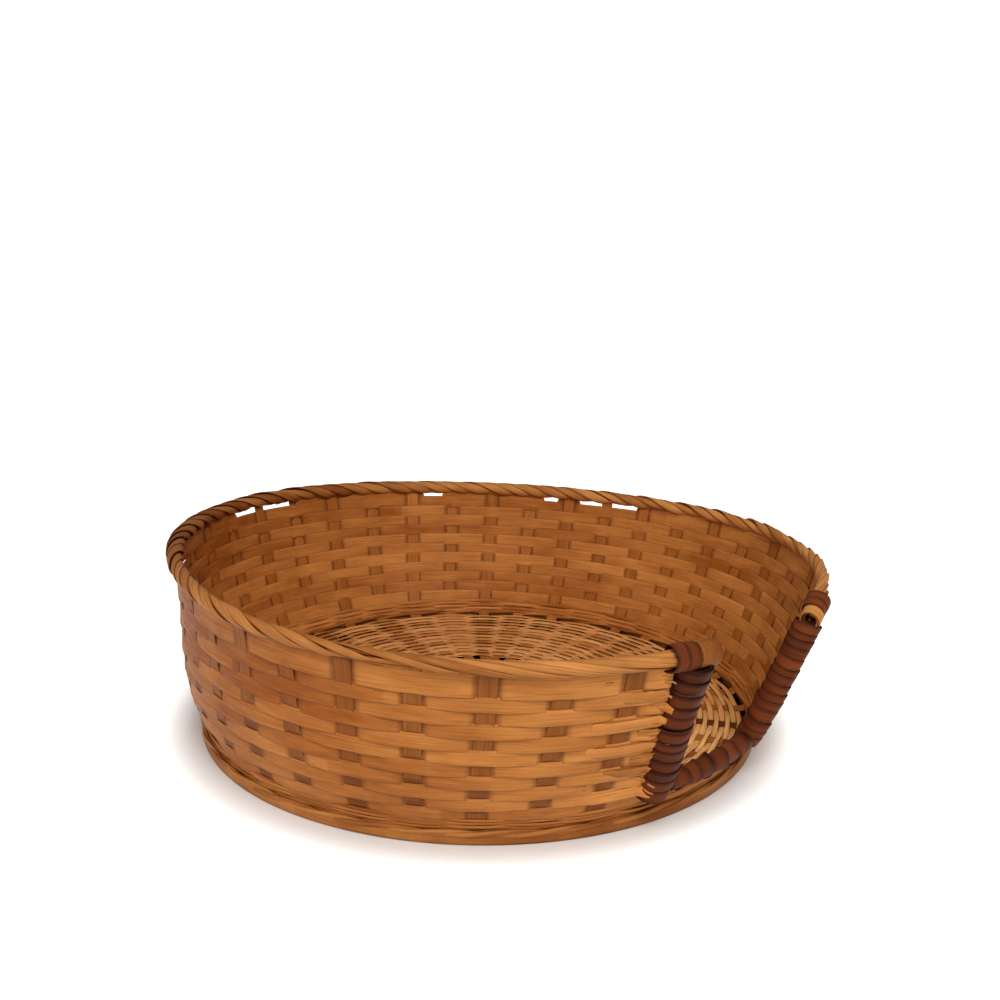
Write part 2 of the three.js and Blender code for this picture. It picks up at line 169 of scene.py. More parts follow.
class BasketRim(bpy.types.PropertyGroup):
    """The rolled rim, and the posts, sill and cane of the notch."""
    roll_radius: length_of("Roll radius", "Radius of the rim roll", 3.6)
    end_radius: length_of("End radius", "Radius of the rim roll at its cut ends", 4.2)
    end_swell: length_of("End swell", "Length over which the roll thickens towards an end", 20)
    strip_thick: length_of("Roll strip thickness", "Thickness of a strip of the roll", 0.6)
    strip_cover: number_of("Strip cover", "A strip's width as a share of the space to the next one", 1.25)
    strips_per_place: count_of("Strips per place", "Strips that join the roll at each upright", 2)
    short_lay: length_of("Short lay", "Length of one turn of a strip where the roll is tightest", 50)
    long_lay: length_of("Long lay", "Length of one turn of a strip at the front, where it lies flattest", 92)
    notch_centre: angle_of("Notch centre", "Direction of the notch", -90)
    post_foot_angle: angle_of("Post foot angle", "From the notch's centre to a post's foot", 13.2)
    left_post_head_angle: angle_of("Left post head", "From the notch's centre to the left head", 15.2)
    right_post_head_angle: angle_of("Right post head", "From the notch's centre to the right head", 18.4)
    post_foot_height: length_of("Post foot height", "Height at which a post starts", 16.5)
    post_radius: length_of("Post radius", "Radius of a post's rod", 4.2)
    post_loops: count_of("Post loops", "Turns of cane on a post between its two bound ends", 13)
    sill_radius: length_of("Sill radius", "Radius of the sill's rod", 2.3)
    sill_height: length_of("Sill height", "Height of the sill's centre line", 17.6)
    sill_loops: count_of("Sill loops", "Turns of cane on the sill between its two bound ends", 5)
    cane_thick: length_of("Cane thickness", "How far the cane stands off a post's rod", 1.1)
    band_thick: length_of("Band thickness", "Thickness of the flat cane itself", 0.45)
    left_cane_shift: length_of("Left cane shift", "How far the left cane lies off its post at the foot", 1.8)
    left_overhang: length_of("Left overhang", "Rim beyond the middle of the left post's head", 8)
    right_overhang: length_of("Right overhang", "Rim beyond the middle of the right post's head", 5)
    lashing_loops: count_of("Lashing loops", "Turns of cane in a lashing", 2)
    lashing_length: length_of("Lashing length", "Length of rim under a lashing", 11.5)


class BasketColours(bpy.types.PropertyGroup):
    """The colours of the strips, as a screen shows them."""
    weaver_dark: colour_of("Weaver, dark", "Deep honey of the darkest wall weavers", 149, 77, 17)
    weaver_pale: colour_of("Weaver, pale", "Straw of the palest wall weavers", 222, 148, 76)
    splint_dark: colour_of("Splint, dark", "Darkest upright splints", 144, 75, 18)
    splint_pale: colour_of("Splint, pale", "Palest upright splints", 198, 123, 52)
    base_dark: colour_of("Base, dark", "Darkest strands of the base", 174, 86, 24)
    base_pale: colour_of("Base, pale", "Palest strands of the base", 250, 187, 116)
    rim_dark: colour_of("Rim, dark", "Darkest strips of the rim roll", 130, 68, 18)
    rim_pale: colour_of("Rim, pale", "Palest strips of the rim roll", 219, 148, 78)
    # Besides stained cut edges and fibre lines, this colour is painted shade: beside the uprights, on their
    # outside, under the base strands and in the rim's hollow end
    edge: colour_of("Cut edge", "Stained cut edges and fibre lines", 88, 36, 6)
    rod: colour_of("Rod", "Raw cane of the hidden rods", 128, 84, 50)
    # The cane goes from dark to pale partly by its wear and partly by painted shade, darkest in the grooves
    # between turns
    cane_dark: colour_of("Cane, dark", "Stained cane in its hollows", 46, 15, 4)
    cane_pale: colour_of("Cane, pale", "Stained cane where it is worn", 130, 62, 26)


class BasketStage(bpy.types.PropertyGroup):
    """The camera, the lamps and the floor."""
    camera_place: bpy.props.FloatVectorProperty(
        name="Camera place", description="Where the camera stands", default=(-0.2861, -0.3142, 0.1806),
        subtype="TRANSLATION", size=3)
    camera_heading: angle_of("Camera heading", "Direction that the camera looks in, from +Y towards +X", 43)
    camera_pitch: angle_of("Camera pitch", "How far the camera looks down", 14.79)
    camera_roll: angle_of("Camera roll", "How far the camera leans to its left", 1.122)
    lens: number_of("Lens", "Focal length in millimetres", 35.51)
    sensor_width: number_of("Sensor", "Sensor width in millimetres", 36.0)
    shift_x: number_of("Shift X", "Sideways shift of the lens", 0.0014)
    shift_y: number_of("Shift Y", "Upward shift of the lens", 0.0562)
    world_light: number_of("Sky light", "Strength of the even light from all sides", 0.34)
    key_power: power_of("Key lamp", "Power of the main lamp", 10.0)
    fill_power: power_of("Fill lamp", "Power of the fill lamp", 1.8)
    lamp_size: length_of("Lamp size", "Width of a lamp", 700)
    floor_size: length_of("Floor", "Width of the floor", 6000)


def unit(vectors):
    return vectors / np.linalg.norm(vectors, axis=-1, keepdims=True)


def lerp(start, end, share):
    return start + (end - start) * share


def smooth(share):
    """A share of 0 to 1 that starts and ends gently."""
    share = np.clip(share, 0.0, 1.0)
    return share * share * (3 - 2 * share)


def fade(value, start, run):
    """From 0 where the value is at the start, gently up to 1 where it is one run further."""
    return smooth((value - start) / run)


def draws(kind, number=0):
    """The random draws of one strip, by its kind and its number in that kind."""
    return np.random.default_rng(SEEDS[kind] + number)


def wobble(rng, x, counts, size):
    """An uneven wave of about this size along x, the same again after a full turn."""
    total = np.zeros_like(np.asarray(x, float))
    for count in counts:
        total += rng.normal() * np.cos(count * x + rng.uniform(0, TURN))
    return size * total / math.sqrt(len(counts))


def evened(values):
    """Each value averaged with its two neighbours."""
    return np.convolve(np.pad(values, 1, mode="edge"), np.array([1.0, 2.0, 1.0]) / 4, mode="valid")


def turned(angle, first, second):
    """The way at this angle from the first way towards the second."""
    return first * np.cos(angle)[..., None] + second * np.sin(angle)[..., None]


def wrapped(angle):
    """The same direction as an angle from minus to plus half a turn."""
    return (angle + math.pi) % TURN - math.pi


def outward(angle):
    """The level way out from the middle of the basket at this angle."""
    return np.stack([np.cos(angle), np.sin(angle), 0 * angle], -1)


def belly_form(share):
    """The belly's swelling from 0 to 1, fullest a third up the wall."""
    def swelling(s):
        return s ** 1.5 * (1 - s) ** 3
    return swelling(np.clip(share, 0.0, 1.0)) / swelling(1 / 3)


class Wall:
    """The wall's middle surface, by an angle round the basket and a share from the floor to the rim."""

    def __init__(self, shape, rim, weave):
        self.shape = shape
        self.rim = rim
        self.weave = weave
        self.step = TURN / shape.places
        # The frame's origin is under the middle of the whole basket, and the foot hoop is round
        low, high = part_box("foot_hoop")
        self.centre = np.array([(low.x + high.x) / 2, (low.y + high.y) / 2, 0.0])
        self.hoop_radius = (high.x - low.x) / 2

    def point(self, angle, share):
        s = self.shape
        angle, share = np.broadcast_arrays(np.asarray(angle, float), np.asarray(share, float))
        swell = (s.oval_swell * np.cos(2 * (angle - s.oval_towards))
                 + s.lobe_swell * np.cos(3 * (angle - s.lobe_towards)))
        full_side = 0.5 + 0.5 * np.cos(angle - s.belly_towards)
        bulge = s.wall_bulge * np.sin(math.pi * share) + s.belly_swell * full_side * belly_form(share)
        radius = lerp(s.foot_radius, s.rim_radius + swell, share) + bulge
        off_droop = wrapped(angle - s.droop_towards) / s.droop_spread
        height = (s.rim_height + s.rim_tilt * np.cos(angle - s.tilt_towards)
                  + s.rim_wave * np.cos(2 * (angle - s.wave_towards))
                  - s.end_droop * np.exp(-off_droop ** 2) * share ** 2)
        across = np.stack([s.rim_shift_x * share + radius * np.cos(angle),
                           s.rim_shift_y * share + radius * np.sin(angle),
                           height * share], -1)
        return self.centre + across

    def frame(self, angle, share):
        """The point there, and the directions round, up and out of the wall."""
        way_round = unit(self.point(angle + NUDGE, share) - self.point(angle - NUDGE, share))
        up = unit(self.point(angle, share + NUDGE) - self.point(angle, share - NUDGE))
        return self.point(angle, share), way_round, up, unit(np.cross(way_round, up))

    def ring(self, angle, radius, height):
        """A point of a level ring round the middle of the foot."""
        return np.stack([radius * np.cos(angle), radius * np.sin(angle), height], -1) + self.centre

    def share(self, height):
        return height / self.shape.rim_height

    def place(self, k):
        """The angle of an upright place, counted from the right of the notch's centre."""
        return self.rim.notch_centre + (k + 0.5) * self.step

    def from_notch(self, angle):
        """The angle from the notch's centre, from minus to plus half a turn."""
        return wrapped(angle - self.rim.notch_centre)

    def post_angle(self, side, share):
        """Where a post crosses the wall at a share of its height. Side -1 is the left post, 1 the right."""
        foot = self.share(self.rim.post_foot_height)
        head_angle = self.rim.left_post_head_angle if side < 0 else self.rim.right_post_head_angle
        lean = lerp(self.rim.post_foot_angle, head_angle, (share - foot) / (1 - foot))
        return self.rim.notch_centre + side * lean

    def under_rim(self, angle, distance):
        """The share that lies this far down the wall from the rim's centre line."""
        rise = np.linalg.norm(self.point(angle, 1.0) - self.point(angle, 1 - NUDGE), axis=-1)
        return 1 - NUDGE * distance / rise

    def in_roll(self, angle):
        """The share at which strips end inside the rim roll, a little in from its skin."""
        under_middle = 0.6 * self.rim.roll_radius
        return self.under_rim(angle, under_middle)

    @property
    def post_outer(self):
        """The radius that keeps clear of a post's cane."""
        clearance = 0.4 * MM
        return self.rim.post_radius + self.rim.cane_thick + clearance

    def reaches_rim(self, k):
        """Whether the upright at this place runs up to the rim, and doesn't stop under the sill."""
        reach = self.rim.post_foot_angle + self.post_outer / self.shape.foot_radius
        return abs(self.from_notch(self.place(k))) >= reach


def section(count, flatness):
    """The outline of a strip, as shares of its half width and half thickness, an ellipse at flatness 0."""
    angle = np.arange(count) * TURN / count

    def squared(wave, squareness):
        return np.sign(wave) * np.abs(wave) ** (1 - squareness * flatness)
    return squared(np.cos(angle), 0.7), squared(np.sin(angle), 0.45)


FLAT = (np.array([1.0, 0.94, 0.5, 0.0, -0.5, -0.94, -1.0, -0.94, -0.5, 0.0, 0.5, 0.94]),
        np.array([0.0, 0.78, 0.96, 1.0, 0.96, 0.78, 0.0, -0.78, -0.94, -0.96, -0.94, -0.78]))
RIDGED = section(12, 0.35)
SLIM = section(6, 0.3)
ROUND = section(8, 0.0)

# Which points of a flat strip's outline are on its outside
OUTSIDE = FLAT[1] > 0

# Where a slot stays open under the back of the rim, in degrees from +X
SLOTS = ((10, 27), (30, 36), (58, 65), (93, 113))

# Direction of the splint that shows darkest in painted shade between the base strands beside the notch
DARK_SPLINT = math.radians(-56.8)


def strip_rings(at, out, width, thick, outline, closed=False, tilt=0.0):
    """The rings of a strip along a path, with the way out of its face, and leaning over by the tilt."""
    if closed:
        along = unit(np.roll(at, -1, 0) - np.roll(at, 1, 0))
    else:
        along = unit(np.gradient(at, axis=0))
    across = unit(np.cross(out, along))
    face = np.cross(along, across)

    def for_each(values):
        return np.broadcast_to(np.asarray(values, float), (len(at),))
    lean = for_each(tilt)
    across, face = turned(lean, across, face), turned(lean, face, -across)
    wide, deep = (for_each(size)[:, None, None] / 2 for size in (width, thick))
    sideways, outwards = (np.atleast_2d(shape)[..., None] for shape in outline)
    return at[:, None] + across[:, None] * sideways * wide + face[:, None] * outwards * deep


class Bundle:
    """Strips gathered into one mesh.

    Each vertex knows its strip's tone and lot, how far across the strip it lies and how deep in shade it is.
    """

    def __init__(self):
        self.points = []
        self.faces = []
        self.uvs = []
        self.tones = []
        self.lots = []
        self.across = []
        self.shades = []
        self.count = 0

    def lay(self, at, out, width, thick, tone, outline=FLAT, closed=False, tilt=0.0, shade=0.0):
        """A strip along a path, with the way out of its face."""
        rings = strip_rings(at, out, width, thick, outline, closed, tilt)
        across = outline[0] if np.ndim(outline[0]) == 1 else FLAT[0]
        self.add(rings, tone, across, closed=closed, shade=shade)

    def add(self, rings, tone, across, closed=False, start=0.0, shade=0.0):
        """A strip given by its rings.

        Its first UV is the length along it and its second the way round its section, both in metres.
        """
        rows, sides = rings.shape[:2]
        links = rows if closed else rows - 1
        middles = rings.mean(1)
        # The section runs counter-clockwise about the way ahead, so that the faces look outwards
        spokes = rings - middles[:, None]
        facing = np.cross(spokes, np.roll(spokes, -1, 1)).sum(1)[:-1]
        shade = np.broadcast_to(shade, (rows, sides))
        if (facing * np.diff(middles, axis=0)).sum() < 0:
            rings = rings[:, ::-1]
            across = np.asarray(across)[::-1]
            shade = shade[:, ::-1]
        steps = np.linalg.norm(np.roll(middles, -1, 0) - middles, axis=1)[:links]
        u = start + np.concatenate([[0.0], np.cumsum(steps)])
        round_steps = np.linalg.norm(np.roll(rings[0], -1, 0) - rings[0], axis=1)
        v = np.concatenate([[0.0], np.cumsum(round_steps)])
        i, j = np.meshgrid(np.arange(links), np.arange(sides), indexing="ij")
        here, ahead = i * sides, ((i + 1) % rows) * sides
        beside = (j + 1) % sides
        quads = np.stack([here + j, here + beside, ahead + beside, ahead + j], -1).reshape(-1, 4) + self.count
        corners = np.stack([np.stack([u[i], v[j]], -1), np.stack([u[i], v[j + 1]], -1),
                            np.stack([u[i + 1], v[j + 1]], -1), np.stack([u[i + 1], v[j]], -1)], 2)
        self.faces += quads.tolist()
        self.uvs.append(corners.reshape(-1, 2))
        if not closed:
            first = np.arange(sides)[::-1]
            last = (rows - 1) * sides + np.arange(sides)
            self.faces += [(first + self.count).tolist(), (last + self.count).tolist()]
            flat_end = np.stack([np.zeros(sides), v[:sides]], -1)
            self.uvs += [flat_end[::-1] + [u[0], 0], flat_end + [u[-1], 0]]
        self.points.append(rings.reshape(-1, 3))
        self.tones.append(np.repeat(np.broadcast_to(np.clip(tone, 0, 1), (rows,)), sides))
        # A strip's lot is a number from 0 to 1 that its first point alone decides
        lot = abs(rings[0, 0] @ np.array([371.0, 533.0, 917.0])) % 1
        self.lots.append(np.full(rows * sides, lot))
        self.across.append(np.tile(across, rows))
        self.shades.append(shade.ravel())
        self.count += rows * sides

    def piece(self, name, material, slot, node):
        """The finished object, which rides on the one body and stands for this node."""
        mesh = bpy.data.meshes.new(name)
        mesh.from_pydata(np.concatenate(self.points).tolist(), [], self.faces)
        uv = mesh.uv_layers.new(name="strip")
        uv.uv.foreach_set("vector", np.concatenate(self.uvs).astype(np.float32).ravel())
        kept = {"tone": self.tones, "lot": self.lots, "across": self.across, "shade": self.shades}
        for label, values in kept.items():
            attribute = mesh.attributes.new(label, "FLOAT", "POINT")
            attribute.data.foreach_set("value", np.concatenate(values).astype(np.float32))
        mesh.polygons.foreach_set("use_smooth", np.ones(len(mesh.polygons), bool))
        mesh.materials.append(material)
        mesh.update()
        obj = bpy.data.objects.new(name, mesh)
        bpy.context.scene.collection.objects.link(obj)
        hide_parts(node)
        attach(obj, "root")


class Nodes:
    """The node tree of a material or a world, filled in step by step."""

    def __init__(self, owner):
        owner.use_nodes = True
        self.tree = owner.node_tree
        self.tree.nodes.clear()

    def node(self, kind, **settings):
        made = self.tree.nodes.new(kind)
        for key, value in settings.items():
            setattr(made, key, value)
        return made

    def link(self, source, target):
        self.tree.links.new(source, target)

    def fill(self, socket, value):
        """Sets a socket to a number or colour, or links it to another node's output."""
        if isinstance(value, bpy.types.NodeSocket):
            self.link(value, socket)
        elif hasattr(value, "__len__"):
            values = tuple(value)
            socket.default_value = values + (1.0,) if len(values) == 3 and socket.type == "RGBA" else values
        else:
            socket.default_value = value

    def math(self, operation, first, second=0.0, clamp=False):
        made = self.node("ShaderNodeMath", operation=operation, use_clamp=clamp)
        self.fill(made.inputs[0], first)
        self.fill(made.inputs[1], second)
        return made.outputs[0]

    def swing(self, value, size):
        """A value of 0 to 1 as a swing of this size about zero."""
        return self.math("MULTIPLY", self.math("SUBTRACT", value, 0.5), size)

    def range(self, value, low, high, to_low=0.0, to_high=1.0):
        made = self.node("ShaderNodeMapRange", interpolation_type="SMOOTHSTEP")
        for socket, setting in zip(made.inputs, (value, low, high, to_low, to_high)):
            self.fill(socket, setting)
        return made.outputs[0]

    def mix(self, share, first, second):
        """A mix of two colours. The mixer's colours are its seventh and eighth inputs and third output."""
        made = self.node("ShaderNodeMix", data_type="RGBA")
        self.fill(made.inputs[0], share)
        self.fill(made.inputs[6], first)
        self.fill(made.inputs[7], second)
        return made.outputs[2]

    def stain(self, share, strength, colour, other):
        """The colour, mixed towards the other by a share at this strength."""
        return self.mix(self.math("MULTIPLY", share, strength), colour, other)

    def either(self, share, first, second):
        """A mix of two shaders."""
        made = self.node("ShaderNodeMixShader")
        for socket, source in zip(made.inputs, (share, first.outputs[0], second.outputs[0])):
            self.link(source, socket)
        return made

    def attribute(self, name):
        return self.node("ShaderNodeAttribute", attribute_name=name).outputs["Fac"]

    def from_middle(self):
        """How far across its strip a place lies, from 0 in the middle to 1 at an edge."""
        return self.math("ABSOLUTE", self.attribute("across"))

    def strip(self):
        """A place on its strip, in metres along it and round it."""
        return self.node("ShaderNodeUVMap", uv_map="strip").outputs[0]

    def room(self):
        """A place in the room, in metres."""
        return self.node("ShaderNodeTexCoord").outputs["Object"]

    def noise(self, vector, scale, detail, roughness):
        made = self.node("ShaderNodeTexNoise")
        self.fill(made.inputs["Vector"], vector)
        made.inputs["Scale"].default_value = scale
        made.inputs["Detail"].default_value = detail
        made.inputs["Roughness"].default_value = roughness
        return made.outputs["Fac"]

    def grain(self, vector, along, across, detail, roughness):
        """Noise drawn out along a strip, with this many waves in a metre along it and across it."""
        made = self.node("ShaderNodeMapping")
        self.fill(made.inputs["Vector"], vector)
        made.inputs["Scale"].default_value = (along, across, 1.0)
        return self.noise(made.outputs[0], 1.0, detail, roughness)

    def shader(self, colour, roughness, specular=0.5):
        made = self.node("ShaderNodeBsdfPrincipled")
        self.link(colour, made.inputs["Base Color"])
        self.fill(made.inputs["Roughness"], roughness)
        made.inputs["Specular IOR Level"].default_value = specular
        return made

    def raise_by(self, shader, height, strength, depth):
        """Lets the light fall as if the surface rose by this height."""
        bump = self.node("ShaderNodeBump")
        bump.inputs["Strength"].default_value = strength
        bump.inputs["Distance"].default_value = depth
        self.link(height, bump.inputs["Height"])
        self.link(bump.outputs[0], shader.inputs["Normal"])

    def finish(self, shader, kind="ShaderNodeOutputMaterial"):
        self.link(shader.outputs[0], self.node(kind).inputs[0])


def splint_finish(name, dark, pale, edge, roughness=0.56, edge_share=0.55, fibre_depth=0.5):
    """Split bamboo: fibres along the strip, a tone for each strip, edges darkened partly by stain and partly
    by painted shade, slow blotches, and painted shade from the shade attribute.
    """
    material = bpy.data.materials.new(name)
    n = Nodes(material)
    # A strip's lot moves its grain to a place of its own in the noise
    lot = n.attribute("lot")
    own = n.node("ShaderNodeCombineXYZ")
    n.fill(own.inputs["X"], n.math("MULTIPLY", lot, 7.3))
    n.fill(own.inputs["Z"], n.math("MULTIPLY", lot, 91.0))
    place = n.node("ShaderNodeVectorMath", operation="ADD")
    n.fill(place.inputs[0], n.strip())
    n.fill(place.inputs[1], own.outputs[0])
    at = place.outputs[0]
    fibre = n.grain(at, along=45.0, across=2600.0, detail=4.0, roughness=0.62)
    hair = n.grain(at, along=160.0, across=7000.0, detail=2.0, roughness=0.5)
    cloud = n.grain(at, along=36.0, across=150.0, detail=3.0, roughness=0.6)
    blotch = n.noise(n.room(), scale=26.0, detail=3.0, roughness=0.6)
    cloud_swing, blotch_swing, hair_share, hair_height = 0.9, 0.7, 0.22, 0.5
    dark_fibres = n.range(fibre, 0.42, 0.72)
    pale_hairs = n.range(hair, 0.5, 0.75)
    edges = n.range(n.from_middle(), 0.86, 1.0)
    shade = n.math("ADD", n.attribute("tone"), n.swing(cloud, cloud_swing))
    shade = n.math("ADD", shade, n.swing(blotch, blotch_swing), clamp=True)
    colour = n.mix(shade, dark, pale)
    colour = n.stain(dark_fibres, fibre_depth, colour, edge)
    colour = n.stain(pale_hairs, hair_share, colour, pale)
    # The edges darken partly by their stain and partly by painted shade between neighbouring strips
    colour = n.stain(edges, edge_share, colour, edge)
    # Painted shade: the shade attribute darkens the colour towards the edge colour
    colour = n.mix(n.attribute("shade"), colour, edge)
    smoothest, roughest = roughness - 0.1, roughness + 0.12
    shader = n.shader(colour, n.range(fibre, 0.2, 0.8, smoothest, roughest), specular=0.16)
    height = n.math("ADD", fibre, n.math("MULTIPLY", hair, hair_height))
    n.raise_by(shader, height, strength=0.35, depth=0.12 * MM)
    n.finish(shader)
    return material


def cane_finish(name, dark, pale):
    """Stained cane: smooth, with a faint gloss and worn paler in patches, with painted shade that darkens
    each turn towards its edges and leaves it palest along its crown.
    """
    material = bpy.data.materials.new(name)
    n = Nodes(material)
    fibre = n.grain(n.strip(), along=60.0, across=1700.0, detail=4.0, roughness=0.6)
    wear = n.noise(n.room(), scale=110.0, detail=4.0, roughness=0.6)
    crown_share, wear_share, fibre_share, edge_share, wear_height = 0.45, 0.5, 0.5, 0.6, 1.5
    # Painted shade of the grooves between turns: each turn is paler along its crown and darker towards its
    # edges
    crown = n.range(n.from_middle(), 0.25, 1.0, 1.0, 0.0)
    dark_fibres = n.range(fibre, 0.46, 0.7)
    edges = n.range(n.from_middle(), 0.84, 1.0)
    shade = n.math("ADD", n.math("MULTIPLY", crown, crown_share), n.math("MULTIPLY", wear, wear_share))
    shade = n.math("ADD", shade, n.swing(n.attribute("tone"), 1.0), clamp=True)
    colour = n.mix(shade, dark, pale)
    colour = n.stain(dark_fibres, fibre_share, colour, dark)
    colour = n.stain(edges, edge_share, colour, dark)
    smoothest, roughest = 0.52, 0.7
    shader = n.shader(colour, n.range(wear, 0.3, 0.7, smoothest, roughest), specular=0.12)
    height = n.math("ADD", fibre, n.math("MULTIPLY", wear, wear_height))
    n.raise_by(shader, height, strength=0.4, depth=0.15 * MM)
    n.finish(shader)
    return material


def rod_finish(name, colour):
    """Raw cane rods, which show only between the turns that bind them."""
    material = bpy.data.materials.new(name)
    n = Nodes(material)
    grain = n.grain(n.room(), along=900.0, across=900.0, detail=3.0, roughness=0.6)
    darker = tuple(0.5 * part for part in colour)
    n.finish(n.shader(n.mix(grain, darker, colour), roughness=0.7))
    return material


def wall_of(context):
    scene = context.scene
    return Wall(scene.basket_shape, scene.basket_rim, scene.basket_weave)


def numbered(name, i):
    return f"{name}_{i + 1:02d}"


def nearness(wall, angle):
    """How near a place on the wall is to the notch, from 0 far away to 1 at a post."""
    away = np.abs(wall.from_notch(angle)) - wall.rim.right_post_head_angle
    reach = math.radians(38)
    return 1 - smooth(away / reach)


# Splints: each runs from one place of the wall, across the base, up to the opposite place

def resample(points, others, spacing):
    """The points of a path and what goes with them, at even steps of about this spacing."""
    steps = np.linalg.norm(np.diff(points, axis=0), axis=1)
    length = np.concatenate([[0.0], np.cumsum(steps)])
    count = max(int(round(length[-1] / spacing)), 2)
    wanted = np.linspace(0, length[-1], count + 1)

    def at(values):
        return np.stack([np.interp(wanted, length, values[:, k]) for k in range(values.shape[1])], -1)
    return at(points), at(others), wanted


def rounded(values, rounds):
    """Cuts the corners of a path again and again, which keeps its ends."""
    for _ in range(rounds):
        near = values[:-1] * 0.75 + values[1:] * 0.25
        far = values[:-1] * 0.25 + values[1:] * 0.75
        inner = np.stack([near, far], 1).reshape(-1, values.shape[1])
        values = np.concatenate([values[:1], inner[1:-1], values[-1:]])
    return values


def splint_half(wall, place, lane, along_x):
    """Points and ways out of one half of a splint, from the middle of the base to its top."""
    weave, rim = wall.weave, wall.rim
    angle = wall.place(place)
    way = np.array([math.cos(angle), math.sin(angle), 0.0])
    level = weave.base_level * UP
    if along_x:
        start = np.array([math.copysign(weave.cross_half, way[0]), lane, 0.0])
    else:
        start = np.array([lane, math.copysign(weave.cross_half, way[1]), 0.0])
    corner, _, up, _ = wall.frame(angle, wall.share(weave.base_level))
    inner = corner - wall.centre
    inner[2] = 0.0
    # A splint starts to turn up a little before the wall, and its face turns from down to outwards
    run = weave.corner_run
    flat_until, turned_at = 2.2 * run, 0.5 * run
    points = [start, way * weave.fan_radius, inner - way * flat_until, inner - way * turned_at]
    points = [wall.centre + level + p for p in points]
    outs = [DOWN, DOWN, DOWN, unit(way * 0.7 + DOWN)]
    points.append(corner + up * turned_at)
    outs.append(unit(way + DOWN * 0.6))
    if wall.reaches_rim(place):
        top = wall.in_roll(angle)
    else:
        under_sill = 1.0 * MM
        top = wall.share(rim.sill_height - rim.sill_radius - rim.cane_thick - under_sill)
    stations = 6
    for share in np.linspace(wall.share(weave.base_level + run), top, stations):
        at, _, _, out = wall.frame(angle, share)
        points.append(at)
        outs.append(out)
    return np.array(points), np.array(outs)


def splint_paths(wall):
    """The path of every splint, by its name's number, with the group that it belongs to."""
    places = wall.shape.places
    half_places = places // 2
    along_x_count = 2 * (half_places // 4) + 1
    paths = []
    for i in range(half_places):
        place = places // 4 + 1 - math.ceil(along_x_count / 2) + i
        along_x = i < along_x_count
        lanes = along_x_count if along_x else half_places - along_x_count
        index = i if along_x else i - along_x_count
        lane = (index - (lanes - 1) / 2) * wall.weave.cross_spacing
        lane = lane if along_x else -lane
        across = places - 1 - place if along_x else half_places - 1 - place
        far = splint_half(wall, across, lane, along_x)
        near = splint_half(wall, place, lane, along_x)
        joined = (np.concatenate([end[::-1], start]) for end, start in zip(far, near))
        points, outs = (rounded(values, rounds=3) for values in joined)
        points, outs, length = resample(points, outs, spacing=1.3 * MM)
        paths.append({"at": points, "out": unit(outs), "length": length, "along_x": along_x, "index": index})
    return paths


def lace_crossings(paths, level, lift, flat, run):
    """Raises and lowers the splints in the middle of the base, so that they pass over and under each other.

    A splint lies flat this far on each side of a crossing, and comes back to the level over the run.
    """
    for one in paths:
        knots = []
        values = []
        low = one["at"][:, 2] < level + 0.1 * MM
        for other in paths:
            if other["along_x"] == one["along_x"]:
                continue
            gap = np.linalg.norm(one["at"][low][:, None, :2] - other["at"][None, :, :2], axis=-1).min(1)
            knots.append(one["length"][low][gap.argmin()])
            over = (one["index"] + other["index"]) % 2 == int(one["along_x"])
            values.append(lift if over else -lift)
        order = np.argsort(knots)
        knots, values = np.array(knots)[order], np.array(values)[order]
        stops = np.stack([knots - flat, knots + flat], 1).ravel()
        stops = np.concatenate([[knots[0] - flat - run], stops, [knots[-1] + flat + run]])
        heights = np.concatenate([[0.0], np.repeat(values, 2), [0.0]])
        one["raise"] = evened(np.interp(one["length"], stops, heights))


